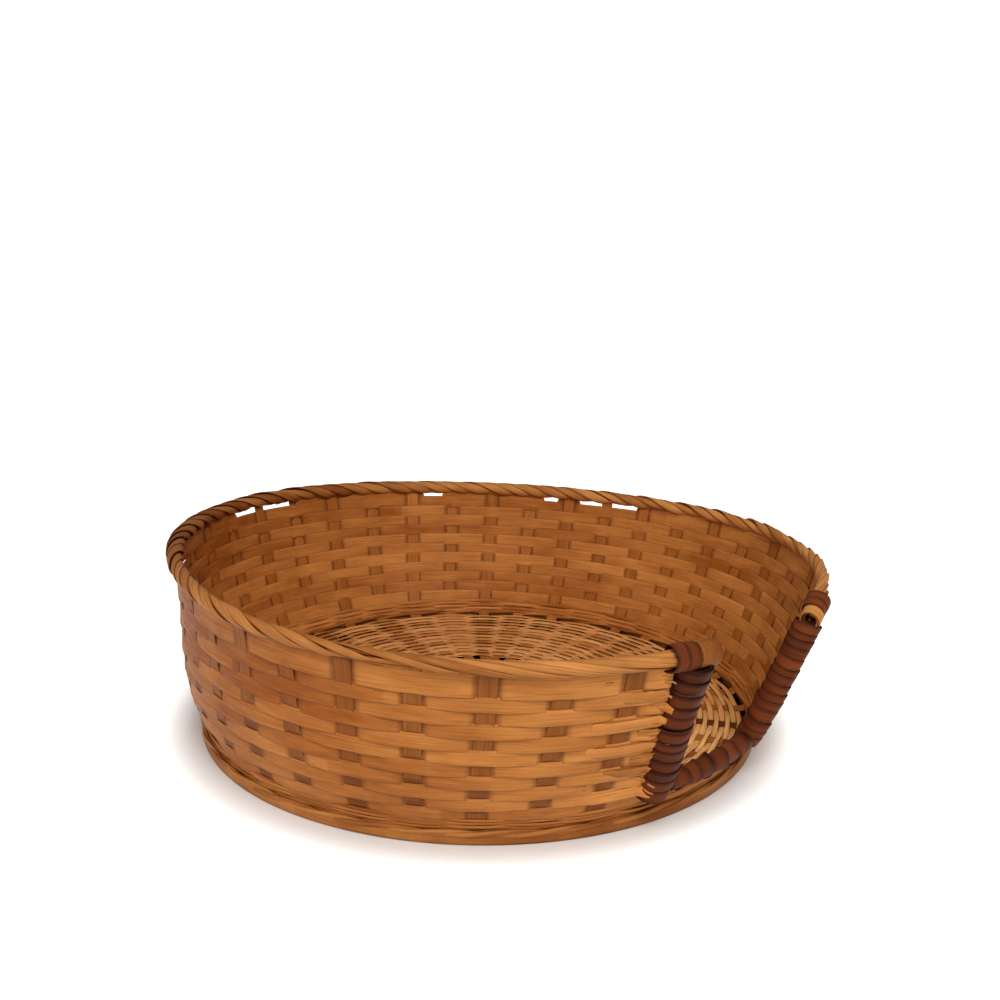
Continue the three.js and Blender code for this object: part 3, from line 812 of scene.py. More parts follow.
class BASKET_OT_splints(bpy.types.Operator):
    """Bends the splints across the base and up the wall"""
    bl_idname = "basket.splints"
    bl_label = "Splints"

    def shades(self, wall, at, on_wall):
        """A painted shade for each point and side: on the uprights' outside on the wall, deep under the base
        strands, deepest on the one dark splint.
        """
        outside, inside, under, under_dark_one = 0.36, 0.06, 0.1, 0.85
        dark_spread = math.radians(4)
        beside = at - wall.centre
        from_middle = np.linalg.norm(beside[:, :2], axis=1)
        under_strands = (1 - on_wall) * fade(from_middle, 42 * MM, 10 * MM)
        off_dark_one = np.arctan2(beside[:, 1], beside[:, 0]) - DARK_SPLINT
        dark_one = np.exp(-(off_dark_one / dark_spread) ** 2)
        upper_face = inside + under_strands * lerp(under, under_dark_one, dark_one)
        return np.where(OUTSIDE, outside * on_wall[:, None], upper_face[:, None])

    def execute(self, context):
        wall = wall_of(context)
        weave, colours = wall.weave, context.scene.basket_colours
        finish = splint_finish("bamboo_splint", colours.splint_dark, colours.splint_pale, colours.edge)
        paths = splint_paths(wall)
        lace_crossings(paths, weave.base_level, lift=0.55 * weave.splint_thick, flat=1.9 * MM, run=6 * MM)
        row_pitch = weave.wide_row_height + weave.row_gap
        press, mean_tone = 0.12 * MM, 0.42
        for i, path in enumerate(paths):
            rng = draws("splint", i)
            at = path["at"].copy()
            at[:, 2] += path["raise"]
            from_middle = np.linalg.norm((at - wall.centre)[:, :2], axis=1)
            on_wall = fade(at[:, 2], weave.base_level + 3 * MM, 4 * MM)
            # Each row presses the upright a little to its own side
            pressed = np.cos(math.pi * at[:, 2] / row_pitch) * press * on_wall
            at += path["out"] * pressed[:, None]
            spread = fade(from_middle, weave.fan_radius, 50 * MM)
            width = lerp(weave.splint_centre_width, weave.splint_width, spread)
            uneven = wobble(rng, path["length"] * 40, (1, 2, 3), 0.025) + rng.uniform(-0.04, 0.05)
            width = width * (1 + uneven)
            tone = mean_tone + rng.uniform(-0.2, 0.2) + wobble(rng, path["length"] * 20, (1, 2), 0.06)
            bundle = Bundle()
            shade = self.shades(wall, at, on_wall)
            bundle.lay(at, path["out"], width, weave.splint_thick, tone, shade=shade)
            name = numbered("splint", i)
            bundle.piece(f"bent_{name}", finish, "splint", name)
        return {"FINISHED"}


def woven_side(phase, sharpness):
    """From -1 to 1 and back as a weaver changes sides at each splint. The phase is 1 a place."""
    wave = np.cos(math.pi * phase)
    return np.tanh(sharpness * wave) / math.tanh(sharpness)


class BASKET_OT_base(bpy.types.Operator):
    """Weaves the two strands of the base outwards in a double spiral"""
    bl_idname = "basket.base"
    bl_label = "Base strands"

    def strand(self, wall, finish, strand, letter):
        """One spiral. Further out it rises higher over the splints and lies looser."""
        weave = wall.weave
        rng = draws("base", strand)
        pitch = 2 * weave.base_ring_pitch
        start = weave.base_weave_start + strand * weave.base_ring_pitch
        turns = (weave.base_weave_end - start) / pitch
        steps_per_place = 7
        places = np.arange(int(turns * wall.shape.places * steps_per_place) + 1) / steps_per_place
        angle = wall.place(places)
        radius = start + pitch * places / wall.shape.places
        outer = fade(radius, 92 * MM, 18 * MM)
        loose = outer * np.clip(wobble(rng, angle, (2, 3, 5, 0.37), 0.7) - 0.2, 0, 1.4)
        slip, lift = 0.9 * MM, 0.6 * MM
        radius = radius + wobble(rng, angle, (3, 7, 11, 0.31), 0.12 * MM) - loose * slip
        reach = weave.base_ring_reach * (1 + 0.5 * outer)
        rise = woven_side(places + strand, 1.4) * reach + loose * lift
        at = wall.ring(angle, radius, weave.base_level + rise)
        near = nearness(wall, angle)
        width = weave.base_ring_width * (1 + wobble(rng, angle, (5, 9, 0.43), 0.05))
        from_splint = np.abs(places - np.round(places)) * wall.step * radius
        crossing = 1 - fade(from_splint, 1.5 * MM, 2.5 * MM)
        # It is narrower further out, where it lies loose, and where it crosses a splint near the notch
        width = width * (1 - 0.06 * outer - 0.1 * np.clip(loose, 0, 1) - 0.36 * near * crossing)
        lean = wobble(rng, angle, (4, 9, 0.7), 0.12) + 0.3 * loose
        # Painted light: the strand is paler near the notch, where light falls in through it
        tone = 0.5 + wobble(rng, angle, (1, 2, 0.29), 0.13) + 0.45 * near
        bundle = Bundle()
        bundle.lay(at, UP, width, weave.base_ring_thick, tone, SLIM, tilt=lean)
        name = f"base_weaver_{letter}"
        bundle.piece(f"woven_{name}", finish, "base_splint", name)

    def execute(self, context):
        wall = wall_of(context)
        colours = context.scene.basket_colours
        finish = splint_finish(
            "bamboo_base_strand", colours.base_dark, colours.base_pale, colours.edge, edge_share=0.6)
        for strand, letter in enumerate("ab"):
            self.strand(wall, finish, strand, letter)
        return {"FINISHED"}


class BASKET_OT_foot(bpy.types.Operator):
    """Bends the hoop round the foot, its ends lapped at the back"""
    bl_idname = "basket.foot"
    bl_label = "Foot hoop"

    def hoop(self, wall, bundle, rng):
        """The flat hoop. Its ends are thinned, and lie one inside the other where they lap."""
        weave = wall.weave
        # The joint is at the back, and each end runs past it by the lap's angle
        joint, lap = math.radians(96), 0.16
        thinned, inwards, outwards = 0.45, 0.26, 0.3
        angle = np.linspace(joint - lap, joint + TURN + lap, 400)
        inner_end = 1 - smooth((angle - angle[0]) / (2 * lap))
        outer_end = 1 - smooth((angle[-1] - angle) / (2 * lap))
        thick = weave.hoop_thick * (1 - thinned * (inner_end + outer_end))
        radius = wall.hoop_radius - weave.hoop_thick * (0.5 + inwards * inner_end - outwards * outer_end)
        radius = radius + wobble(rng, angle, (3, 5, 8), 0.1 * MM)
        height = weave.hoop_height * (1 + wobble(rng, angle, (2, 5), 0.03))
        tone = 0.28 + wobble(rng, angle, (1, 2, 3), 0.12)
        bundle.lay(wall.ring(angle, radius, height / 2), outward(angle), height, thick, tone)

    def twist(self, wall, bundle, rng):
        """Two pairs of thin strands on the hoop's upper edge. The inner pair closes the gap to the wall."""
        weave = wall.weave
        steps_per_place = 12
        angle = np.linspace(0, TURN, steps_per_place * wall.shape.places, endpoint=False)
        width, thick, swing = 1.9 * MM, 1.3 * MM, 0.5 * MM
        for strand in range(4):
            pair, partner = divmod(strand, 2)
            beat = wall.shape.places * angle / 2 + (partner + 0.4 * pair) * math.pi
            middle = wall.hoop_radius - (0.45 + 1.1 * pair) * weave.hoop_thick
            radius = middle + swing * np.cos(beat) + wobble(rng, angle, (3, 7, 11), 0.12 * MM)
            level = weave.hoop_height + (1.1 * pair - 0.35) * MM
            height = level + swing * np.sin(beat) + wobble(rng, angle, (2, 5, 9), 0.2 * MM)
            tone = 0.24 + 0.2 * partner - 0.1 * pair + wobble(rng, angle, (1, 2, 4), 0.12)
            at = wall.ring(angle, radius, height)
            bundle.lay(at, outward(angle), width, thick, tone, ROUND, closed=True)

    def execute(self, context):
        wall = wall_of(context)
        colours = context.scene.basket_colours
        finish = splint_finish(
            "bamboo_hoop", colours.rim_dark, colours.rim_pale, colours.edge, fibre_depth=0.35)
        rng = draws("foot")
        bundle = Bundle()
        self.hoop(wall, bundle, rng)
        self.twist(wall, bundle, rng)
        bundle.piece("bent_foot_hoop", finish, "hoop_splint", "foot_hoop")
        return {"FINISHED"}


def from_upright(wall, phase):
    """How far a place of a row is from the middle of the nearest upright."""
    return np.abs(phase - np.round(phase)) * wall.step * wall.shape.foot_radius


def dive_shade(wall, side, phase):
    """The shade on each face of a row's strip, right beside the uprights that it dives behind."""
    strength, run = 0.72, 1.3 * MM
    beside = 1 - fade(from_upright(wall, phase), wall.weave.splint_width / 2, run)
    dives = np.clip(np.where(OUTSIDE, -1.0, 1.0) * side[:, None], 0, 1)
    return strength * beside[:, None] * dives


def row_lean(wall, rng, angle, phase):
    """How far a row leans over: inwards between the uprights, and nearly flat on an upright."""
    inside_edge, run = 1.0 * MM, 2.0 * MM
    on_upright = 1 - fade(from_upright(wall, phase), wall.weave.splint_width / 2 - inside_edge, run)
    return wobble(rng, angle, (3, 5, 9), 0.012) - wall.weave.row_lean * (1 - 0.6 * on_upright)


def row_stations(wall, angle, low, high):
    """Points, ways up and out, and heights of a row between two heights above the floor."""
    at, _, up, out = wall.frame(angle, wall.share((low + high) / 2))
    tall = np.linalg.norm(wall.point(angle, wall.share(high)) - wall.point(angle, wall.share(low)), axis=1)
    return at, up, out, tall


def uneven_height(rng, angle):
    """What a row's strip is taller or lower by than its mean."""
    return wobble(rng, angle, (4, 7, 12), 0.07 * MM)


# How sharply a row of the wall changes sides, and its stations from one upright to the next
ROW_SHARPNESS = 1.2
ROW_STEPS = 18


class BASKET_OT_wall(bpy.types.Operator):
    """Weaves the rows of the wall between the uprights and the posts"""
    bl_idname = "basket.wall"
    bl_label = "Wall rows"

    def twined_row(self, wall, finish, row, low):
        """Three thin strands that swap sides between the uprights, and twist round each other."""
        weave = wall.weave
        strands, steps_per_place, thick = 3, 12, 0.7 * MM
        spread = 1.2 * weave.thin_row_height
        sag, stand_off, paler_at_notch = 0.35 * MM, 0.3 * MM, 0.12
        phase = np.arange(wall.shape.places * steps_per_place) / steps_per_place
        angle = wall.place(phase)
        bundle = Bundle()
        for strand in range(strands):
            rng = draws("twined", 10 * row + strand)
            side = woven_side(phase + row + strand, ROW_SHARPNESS)
            middle = low + spread * (strand + 0.4) / strands
            loose = np.clip(wobble(rng, angle, (2, 3, 5, 7), 1.0) - 0.5, 0, 2)
            drift = wobble(rng, angle, (2, 3, 5, 9), 0.22 * MM) - loose * sag
            off = side * (weave.row_reach * 1.1 + loose * stand_off)
            at, up, out, _ = row_stations(wall, angle, middle, middle + 0.2 * MM)
            at = at + out * off[:, None] + up * drift[:, None]
            width = weave.twined_strand * (1 + wobble(rng, angle, (3, 6, 10), 0.12))
            lean = wobble(rng, angle, (3, 4, 7), 0.22)
            tone = 0.32 + rng.uniform(-0.16, 0.16) + wobble(rng, angle, (1, 2, 4), 0.12)
            tone = tone + paler_at_notch * nearness(wall, angle)
            bundle.lay(at, out, width, thick, tone, SLIM, closed=True, tilt=lean)
        name = numbered("thin_weaver", row)
        bundle.piece(f"twined_{name}", finish, "weaver_splint", name)

    def tones(self, wall, rng, angle):
        """A weaver's tone, paler near the notch as a painted highlight and darker on one side as painted
        shade, with splices to other strips.
        """
        mean, paler_at_notch, side_shade = 0.42, 0.34, 0.16
        splices = np.sort(rng.uniform(0, TURN, 3))
        around = (angle - wall.rim.notch_centre) % TURN
        levels = rng.normal(0, 0.1, len(splices) + 1)
        joined = levels[np.searchsorted(splices, around)]
        # Painted shade: the rows are darker on one side of the basket
        on_shaded_side = smooth(2 * np.cos(angle - wall.shape.painted_shade_towards) - 1)
        wandering = wobble(rng, angle, (2, 5, 9, 23), 0.06)
        # Near the notch the rows are paler, a painted highlight
        return mean + joined + wandering + paler_at_notch * nearness(wall, angle) - side_shade * on_shaded_side

    def ring_row(self, wall, finish, row, low, high):
        """The lowest wide row, which runs on under the sill with its upper edge trimmed."""
        weave = wall.weave
        phase = np.arange(wall.shape.places * ROW_STEPS) / ROW_STEPS
        angle = wall.place(phase)
        rng = draws("row", row)
        # The trimming starts two thirds of a place outside each post, and is full a third of a place inside
        past_post = np.abs(wall.from_notch(angle)) - wall.rim.post_foot_angle
        trimmed = 1 - smooth(past_post / wall.step + 0.35)
        upper = lerp(high, low + weave.trimmed_row_height, trimmed)
        at, up, out, tall = row_stations(wall, angle, low, upper)
        side = woven_side(phase + row, ROW_SHARPNESS)
        drift = wobble(rng, angle, (3, 5, 8), 0.1 * MM)
        at = at + out * (side * weave.row_reach)[:, None] + up * drift[:, None]
        width = tall + lerp(weave.row_gap + weave.row_lap, 0.0, trimmed) + uneven_height(rng, angle)
        lean = row_lean(wall, rng, angle, phase)
        tone = self.tones(wall, rng, angle)
        bundle = Bundle()
        shade = dive_shade(wall, side, phase)
        bundle.lay(at, out, width, weave.weaver_thick, tone, closed=True, tilt=lean, shade=shade)
        name = numbered("wall_weaver", row - weave.thin_rows)
        bundle.piece(f"woven_{name}", finish, "weaver_splint", name)

    def upper_edge(self, wall, angle, high):
        """The height of the top row's upper edge, which runs up under the roll except at the open slots."""
        in_roll = wall.in_roll(angle) * wall.shape.rim_height - wall.weave.row_gap
        degrees = np.degrees(angle) % 360
        slots = sum(smooth(degrees - first) * smooth(last - degrees) for first, last in SLOTS)
        return lerp(np.maximum(in_roll, high), high, slots)

    def cut_row(self, wall, finish, row, low, high, top_row):
        """A row that ends at the posts, where it is doubled and stands out as a ridge."""
        weave = wall.weave
        rng = draws("row", row)
        share = wall.share((low + high) / 2)
        radius = np.linalg.norm((wall.point(0, share) - wall.centre)[:2])
        first_post, last_post = wall.post_angle(1, share), wall.post_angle(-1, share) + TURN
        stop = wall.post_outer / radius
        # The left post's cane lies to the left of the post, further at its foot
        cane_reach = lerp(2.4, 1.6, share) * MM
        left_edge = last_post - cane_reach / radius
        start, end = first_post + stop, left_edge - stop
        angle = np.linspace(start, end, int((end - start) / wall.step * ROW_STEPS) + 1)
        phase = (angle - wall.place(0)) / wall.step
        upper = self.upper_edge(wall, angle, high) if top_row else np.full_like(angle, high)
        at, up, out, tall = row_stations(wall, angle, low, upper)
        from_post = np.minimum(angle - first_post, last_post - angle) * radius
        ridge = 1 - fade(from_post, 7 * MM, 22 * MM)
        ridge_thick, ridge_height, ridge_highlight = 0.7 * MM, 1.05, 0.28
        side = woven_side(phase + row, ROW_SHARPNESS)
        at_post = rng.uniform(0.3, 0.5) * MM
        reach = lerp(side * weave.row_reach, at_post, 1 - fade(from_post, 5 * MM, 10 * MM))
        drift = wobble(rng, angle, (3, 5, 8, 12), 0.1 * MM) + ridge * wobble(rng, angle, (31, 43), 0.16 * MM)
        at = at + out * reach[:, None] + up * drift[:, None]
        width = tall + weave.row_gap + weave.row_lap + uneven_height(rng, angle)
        width = width * lerp(1.0, ridge_height, ridge)
        thick = weave.weaver_thick + ridge_thick * ridge
        lean = row_lean(wall, rng, angle, phase)
        outline = tuple(lerp(flat[None], ridged[None], ridge[:, None]) for flat, ridged in zip(FLAT, RIDGED))
        # Painted highlight: the row is paler close to each post
        tone = self.tones(wall, rng, angle) + ridge_highlight * (1 - fade(from_post, 0.0, 34 * MM))
        shade = dive_shade(wall, side, phase) * fade(from_post[:, None], 0.0, 12 * MM)
        bundle = Bundle()
        bundle.lay(at, out, width, thick, tone, outline, tilt=lean, shade=shade)
        second_from_post = 2
        uprights = (second_from_post, wall.shape.places - 1 - second_from_post)
        for post, way, upright in zip((first_post, left_edge), (1, -1), uprights):
            for face in (1, -1):
                dives = face * woven_side(upright + row, 1.0) < 0
                for sliver in (False, True):
                    level = (low + high) / 2
                    self.turned_end(wall, bundle, rng, post, way, face, level, radius, sliver, dives)
        name = numbered("wall_weaver", row - weave.thin_rows)
        bundle.piece(f"woven_{name}", finish, "weaver_splint", name)

    def turned_end(self, wall, bundle, rng, post, way, face, level, radius, sliver, dives):
        """A strip that has come round a post and lies over its own row, on the wall's outside or inside.

        A sliver is thin and short. A strip that dives goes behind the next upright and ends there.
        """
        if sliver:
            wander, widths, thick, resting = 1.2, (0.8, 1.8), 0.3 * MM, 0.35 * MM
        else:
            wander, widths, thick, resting = 0.2, (4.2, 5.0), 0.45 * MM, 0.0
        outer = wall.post_outer
        shown = rng.uniform(0.0, 1.0) ** 3 * 2.6 * MM
        begin = outer + 0.2 * MM - shown
        end = rng.uniform(*((10, 15) if sliver or dives else (20, 38))) * MM
        stations = 26
        away = np.linspace(begin, end, stations)
        angle = post + way * away / radius
        middle = level + rng.normal(0, wander) * MM
        at, up, out, _ = row_stations(wall, angle, middle - 2 * MM, middle + 2 * MM)
        # It rests on the row, runs over the post's flank, and sinks into the weave at its far end
        flank = np.sqrt(np.clip(outer ** 2 - away ** 2, 0, None)) + 0.25 * MM
        near_post, further_on, sinking_run = 1.15 * MM, 0.8 * MM, 7 * MM
        lying = lerp(near_post, further_on, fade(away, 6 * MM, 16 * MM)) + resting
        sunk = 1 - smooth((end - away) / sinking_run)
        off = evened(np.maximum(lying * (1 - 0.9 * sunk), np.where(away < outer, flank + resting, 0.0)))
        slope = rng.normal(0, 0.4) * MM
        at = at + out * (face * off)[:, None] + up * (slope * np.linspace(-1, 1, stations))[:, None]
        tip = smooth((away - begin) / (rng.uniform(1.5, 4.0) * MM))
        width = rng.uniform(*widths) * MM * lerp(0.5, 1.0, tip)
        width = width * (1 + wobble(rng, away * 500, (1, 2, 3), 0.05))
        lean = rng.normal(0, 0.12)
        tone = 0.6 + rng.normal(0, 0.12) + 0.2 * (1 - tip)
        bundle.lay(at, out * face, width, thick, tone, tilt=lean)

    def execute(self, context):
        wall = wall_of(context)
        weave, colours = wall.weave, context.scene.basket_colours
        finish = splint_finish("bamboo_weaver", colours.weaver_dark, colours.weaver_pale, colours.edge,
                               edge_share=0.45, fibre_depth=0.4)
        low = weave.hoop_height + weave.hoop_gap
        for row in range(weave.thin_rows):
            self.twined_row(wall, finish, row, low)
            low += weave.thin_row_height + weave.row_gap
        for i in range(weave.wide_rows):
            row = weave.thin_rows + i
            high = low + weave.wide_row_height
            if i == 0:
                self.ring_row(wall, finish, row, low, high)
            else:
                self.cut_row(wall, finish, row, low, high, top_row=i == weave.wide_rows - 1)
            low = high + weave.row_gap
        return {"FINISHED"}


class Rail:
    """The rim's centre line, by the length along it from the right cut end."""

    def __init__(self, wall):
        self.wall = wall
        rim = wall.rim
        first = wall.post_angle(1, 1.0) - rim.right_overhang / wall.shape.rim_radius
        last = wall.post_angle(-1, 1.0) + TURN + rim.left_overhang / wall.shape.rim_radius
        self.angles = np.linspace(first, last, 2000)
        steps = np.linalg.norm(np.diff(wall.point(self.angles, 1.0), axis=0), axis=1)
        self.lengths = np.concatenate([[0.0], np.cumsum(steps)])
        self.length = self.lengths[-1]

    def angle(self, length):
        return np.interp(length, self.lengths, self.angles)

    def frame(self, length):
        """The point there, and the ways along, out and up, square to each other."""
        at, along, _, out = self.wall.frame(self.angle(length), 1.0)
        up = unit(np.cross(out, along))
        return at, along, out, np.sign(up[..., 2:3]) * up

    def radius(self, length):
        rim = self.wall.rim
        near_end = smooth(np.minimum(length, self.length - length) / rim.end_swell)
        return lerp(rim.end_radius, rim.roll_radius, near_end)


def arc_rings(rail, length, lay_angle, half_width, outer, inner, lean):
    """Rings of a strip that lies round the rail, curved to it. One edge stands higher by the lean."""
    at, _, out, up = rail.frame(length)
    per_face = 7
    one_face = np.linspace(-1, 1, per_face)
    shares = np.concatenate([one_face, one_face[::-1]])
    face = np.repeat([1.0, -1.0], per_face)
    # Each face falls off to half the thickness at the strip's edges
    crown = 1 - np.abs(shares) ** 6 * 0.5
    middle, half = (outer + inner) / 2, (outer - inner) / 2
    radius = middle[:, None] + half[:, None] * (face * crown) + lean[:, None] * shares
    angle = lay_angle[:, None] + shares * half_width[:, None]
    return at[:, None] + turned(angle, out[:, None], up[:, None]) * radius[..., None], shares


# Where the rim's lay is longest, and where its strips lie slim, loose and uneven
LONGEST_LAY = math.radians(250)
SLIM_SIDE = math.radians(235)
LOOSE_SIDE = math.radians(120)
UNEVEN_SIDE = math.radians(-38)


class BASKET_OT_rim(bpy.types.Operator):
    """Rolls the splint ends into the rim, and puts the knob and the open roll on its two ends"""
    bl_idname = "basket.rim"
    bl_label = "Rim roll"

    def strips(self, wall, rail, bundle):
        """The lay of strips. Each comes out of the roll, runs round it once and is tucked in again."""
        rim = wall.rim
        rng = draws("rim")
        spacing = wall.shape.rim_radius * wall.step / rim.strips_per_place
        lead, overrun, tuck_run, station_step = 45 * MM, 15 * MM, 9 * MM, 1.5 * MM
        first_shown, last_shown, shortest = 2.5 * MM, rail.length - 0.4 * MM, 8 * MM
        # The lay is longest at the front left, and the angle turned is the sum of its steps
        grid = np.linspace(-rim.long_lay, rail.length + rim.long_lay, 3000)
        front = np.cos(rail.angle(grid) - LONGEST_LAY)
        lay = lerp(rim.short_lay, rim.long_lay, fade(front, 0.45, 0.45))
        lay_turn = np.concatenate([[0.0], np.cumsum(TURN / lay[:-1] * np.diff(grid))])
        for k in range(int((rail.length + lead + overrun) / spacing)):
            begin = k * spacing - lead + rng.normal(0, 0.8) * MM
            run = np.interp(begin, grid, lay) * rng.uniform(0.98, 1.12)
            start, stop = max(begin, first_shown), min(begin + run, last_shown)
            if stop - start < shortest:
                continue
            steps = max(int((stop - start) / station_step), 6)
            length = np.linspace(start, stop, steps + 1)
            from_start = np.interp(length, grid, lay_turn) - np.interp(begin, grid, lay_turn)
            lay_angle = -math.pi / 2 - from_start
            tuck = 1 - smooth(np.minimum(length - begin, begin + run - length) / tuck_run)
            towards = rail.angle(length)
            front_side = smooth(0.5 + 0.9 * np.cos(towards - SLIM_SIDE))
            loose_side = smooth(2.2 * np.cos(towards - LOOSE_SIDE) - 1.2)
            right_side = smooth(1.1 * np.cos(towards - UNEVEN_SIDE) - 0.1)
            uneven = np.maximum(loose_side, right_side)
            off_knob = smooth((rail.length - length - 9 * MM) / (14 * MM))
            # How deep the strip lies in the roll, in millimetres
            sunk = 0.1 + 0.75 * front_side * off_knob + 0.45 * right_side + tuck
            outer = rail.radius(length) - sunk * MM
            outer = outer + wobble(rng, length * 60, (1, 2, 3), 0.09 * MM)
            outer = outer + rng.normal(0, 1.0) * lerp(0.06, 0.3, uneven) * MM
            gap_angle = TURN * spacing / np.interp(length, grid, lay)
            half_width = gap_angle * rim.strip_cover / 2 * rng.uniform(0.9, 1.1) * (1 - 0.3 * tuck)
            half_width = half_width * (1 - 0.12 * loose_side - 0.14 * right_side)
            lean = rim.strip_thick * lerp(0.42, 0.8, uneven)
            inner = outer - rim.strip_thick
            rings, shares = arc_rings(rail, length, lay_angle, half_width, outer, inner, lean)
            # Tones vary least along the front and most on the loose side, where the strips are darker
            pale = np.maximum(nearness(wall, towards), right_side)
            spread = lerp(lerp(0.16, 0.07, front_side), 0.22, loose_side)
            tone = 0.44 + rng.normal(0, 1) * spread - 0.26 * loose_side + 0.16 * pale
            tone = tone + wobble(rng, length * 30, (1, 2), 0.05)
            bundle.add(rings, tone, shares, start=begin)

    def open_roll(self, rail, bundle):
        """The right cut end: a sheet rolled up in a little over one turn, hollow in the middle."""
        turns, pitch, thick = 1.3, 0.85 * MM, 0.75 * MM
        under_skin, raggedness = 0.35 * MM, 0.35 * MM
        around = np.linspace(0, turns * TURN, 60)
        radius = rail.wall.rim.end_radius - under_skin - around / TURN * pitch
        ragged = raggedness * np.sin(around * 1.3 + 1)
        sheet = []
        for length in (0.0, 0.5 * MM, 5.0 * MM, 12.0 * MM):
            at, along, out, up = rail.frame(length)
            uneven = ragged if length == 0 else 0 * around
            sheet.append(at + turned(around, out, up) * radius[:, None] - along * uneven[:, None])
        sheet = np.stack(sheet)
        inward = unit(np.cross(np.gradient(sheet[0], axis=0), rail.frame(0.0)[1]))
        faces = [sheet - inward * thick / 2, (sheet + inward * thick / 2)[::-1]]
        rings = np.concatenate(faces).transpose(1, 0, 2)
        # Painted shade: the sheet's inner face is dark, as the hollow of the roll lies in shade
        pale, hollow_shade = 0.95, 0.85
        shade = np.repeat([0.0, hollow_shade], len(sheet))
        bundle.add(rings, pale, np.zeros(rings.shape[1]), shade=shade)

    def knob(self, rail, bundle):
        """The left end: a wide brown strip rolled round the roll's end, with a paler one beside it."""
        end_radius = rail.wall.rim.end_radius
        width, pale_width = 8.6 * MM, 3.4 * MM
        at, _, out, up = rail.frame(rail.length - width / 2 - 0.2 * MM)
        around = np.linspace(0, 2.1 * TURN, 80)
        radius = end_radius + lerp(-0.75, 0.5, around / around[-1]) * MM
        side = turned(around + 1.0, out, up)
        bundle.lay(at + side * radius[:, None], side, width, 0.7 * MM, tone=0.12)
        at, _, out, up = rail.frame(rail.length - width - 1.2 * MM)
        side = turned(np.linspace(0.2, TURN, 40), out, up)
        bundle.lay(at + side * (end_radius + 0.05 * MM), side, pale_width, 0.6 * MM, tone=0.85)

    def execute(self, context):
        wall = wall_of(context)
        colours = context.scene.basket_colours
        finish = splint_finish(
            "bamboo_rim", colours.rim_dark, colours.rim_pale, colours.edge, fibre_depth=0.4)
        rail = Rail(wall)
        bundle = Bundle()
        self.strips(wall, rail, bundle)
        self.open_roll(rail, bundle)
        self.knob(rail, bundle)
        bundle.piece("rolled_rim", finish, "rim_splint", "rim_roll")
        return {"FINISHED"}


class BASKET_OT_rim_core(bpy.types.Operator):
    """Lays a bundle of thin raw strands inside the rim roll"""
    bl_idname = "basket.rim_core"
    bl_label = "Rim core"

    def execute(self, context):
        colours = context.scene.basket_colours
        finish = splint_finish("raw_core", colours.edge, colours.splint_pale, colours.edge, roughness=0.7)
        rail = Rail(wall_of(context))
        strands, from_middle, twist_length = 5, 1.3 * MM, 90 * MM
        width, thick = 1.5 * MM, 1.1 * MM
        bundle = Bundle()
        for k in range(strands):
            rng = draws("core", k)
            length = np.linspace(rng.uniform(3.0, 7.0) * MM, rail.length - 3 * MM, 420)
            at, _, out, up = rail.frame(length)
            side = turned(TURN * k / strands + length / twist_length, out, up)
            bundle.lay(at + side * from_middle, side, width, thick, rng.uniform(0.2, 0.7), ROUND)
        bundle.piece("core_strands", finish, "rim_core_rod", "rim_core")
        return {"FINISHED"}


def winding(rng, path, loops, radius, thick, overlap, start_angle, slant, jitter=0.06, bound=1, level=0.5):
    """Cane wound along a path, as one flat strip whose turns lap a little.

    The path gives the point and the way out by share. At each end the cane makes the bound turns, which don't
    move on. The slant tilts each turn against the path, and the level is the cane's mean tone.
    """
    steps_per_turn = 26
    turn = np.linspace(-bound, loops + bound, (loops + 2 * bound) * steps_per_turn + 1)
    # The turns' shares of the length are a little uneven
    beat = np.concatenate([[0.0], np.cumsum(1 + rng.normal(0, jitter * 2, loops))])
    beat = beat / beat[-1]
    pitches = np.interp(turn, np.arange(loops) + 0.5, np.diff(beat))
    margin = 0.5 / (loops + 1)
    length = np.linalg.norm(np.diff(path(np.linspace(0, 1, 40))[0], axis=0), axis=1).sum()
    shares = margin + np.interp(turn, np.arange(loops + 1), beat) * (1 - 2 * margin)
    # The slant fades out towards the two ends
    fading_run = 2.5 * slant + 0.1 * MM
    inside = smooth(np.minimum(shares, 1 - shares) * length / fading_run)
    angle = start_angle + TURN * turn
    shares = shares + slant / length * np.cos(angle + 0.9) * inside
    at, out = path(shares)
    along = path(np.clip(shares + NUDGE, 0, 1))[0] - path(np.clip(shares - NUDGE, 0, 1))[0]
    side = turned(angle, out, unit(np.cross(out, along)))
    pitch = pitches * length * (1 - 2 * margin)
    width = (pitch + overlap) * (1 + wobble(rng, angle, (0.53, 1.3, 2.9), 0.05))
    each_turn = np.arange(loops + 3) - 1
    slack = wobble(rng, angle, (0.37, 0.81, 1.7), 0.09 * MM)
    slack = slack + np.interp(turn, each_turn, rng.normal(0, 0.13, loops + 3)) * MM
    # The two ends sink in under their neighbours, and each turn leans over the one before it
    ends = 1 - smooth(np.minimum(turn + bound, loops + bound - turn) / 0.9)
    off = radius + thick / 2 + slack - 0.9 * thick * ends
    lean = -np.arctan2(0.8 * thick, pitch) * (1 - ends)
    tone = np.interp(turn, each_turn, rng.normal(level, 0.12, loops + 3))
    bundle = Bundle()
    bundle.lay(at + side * off[:, None], side, width, thick, tone, tilt=lean)
    return bundle


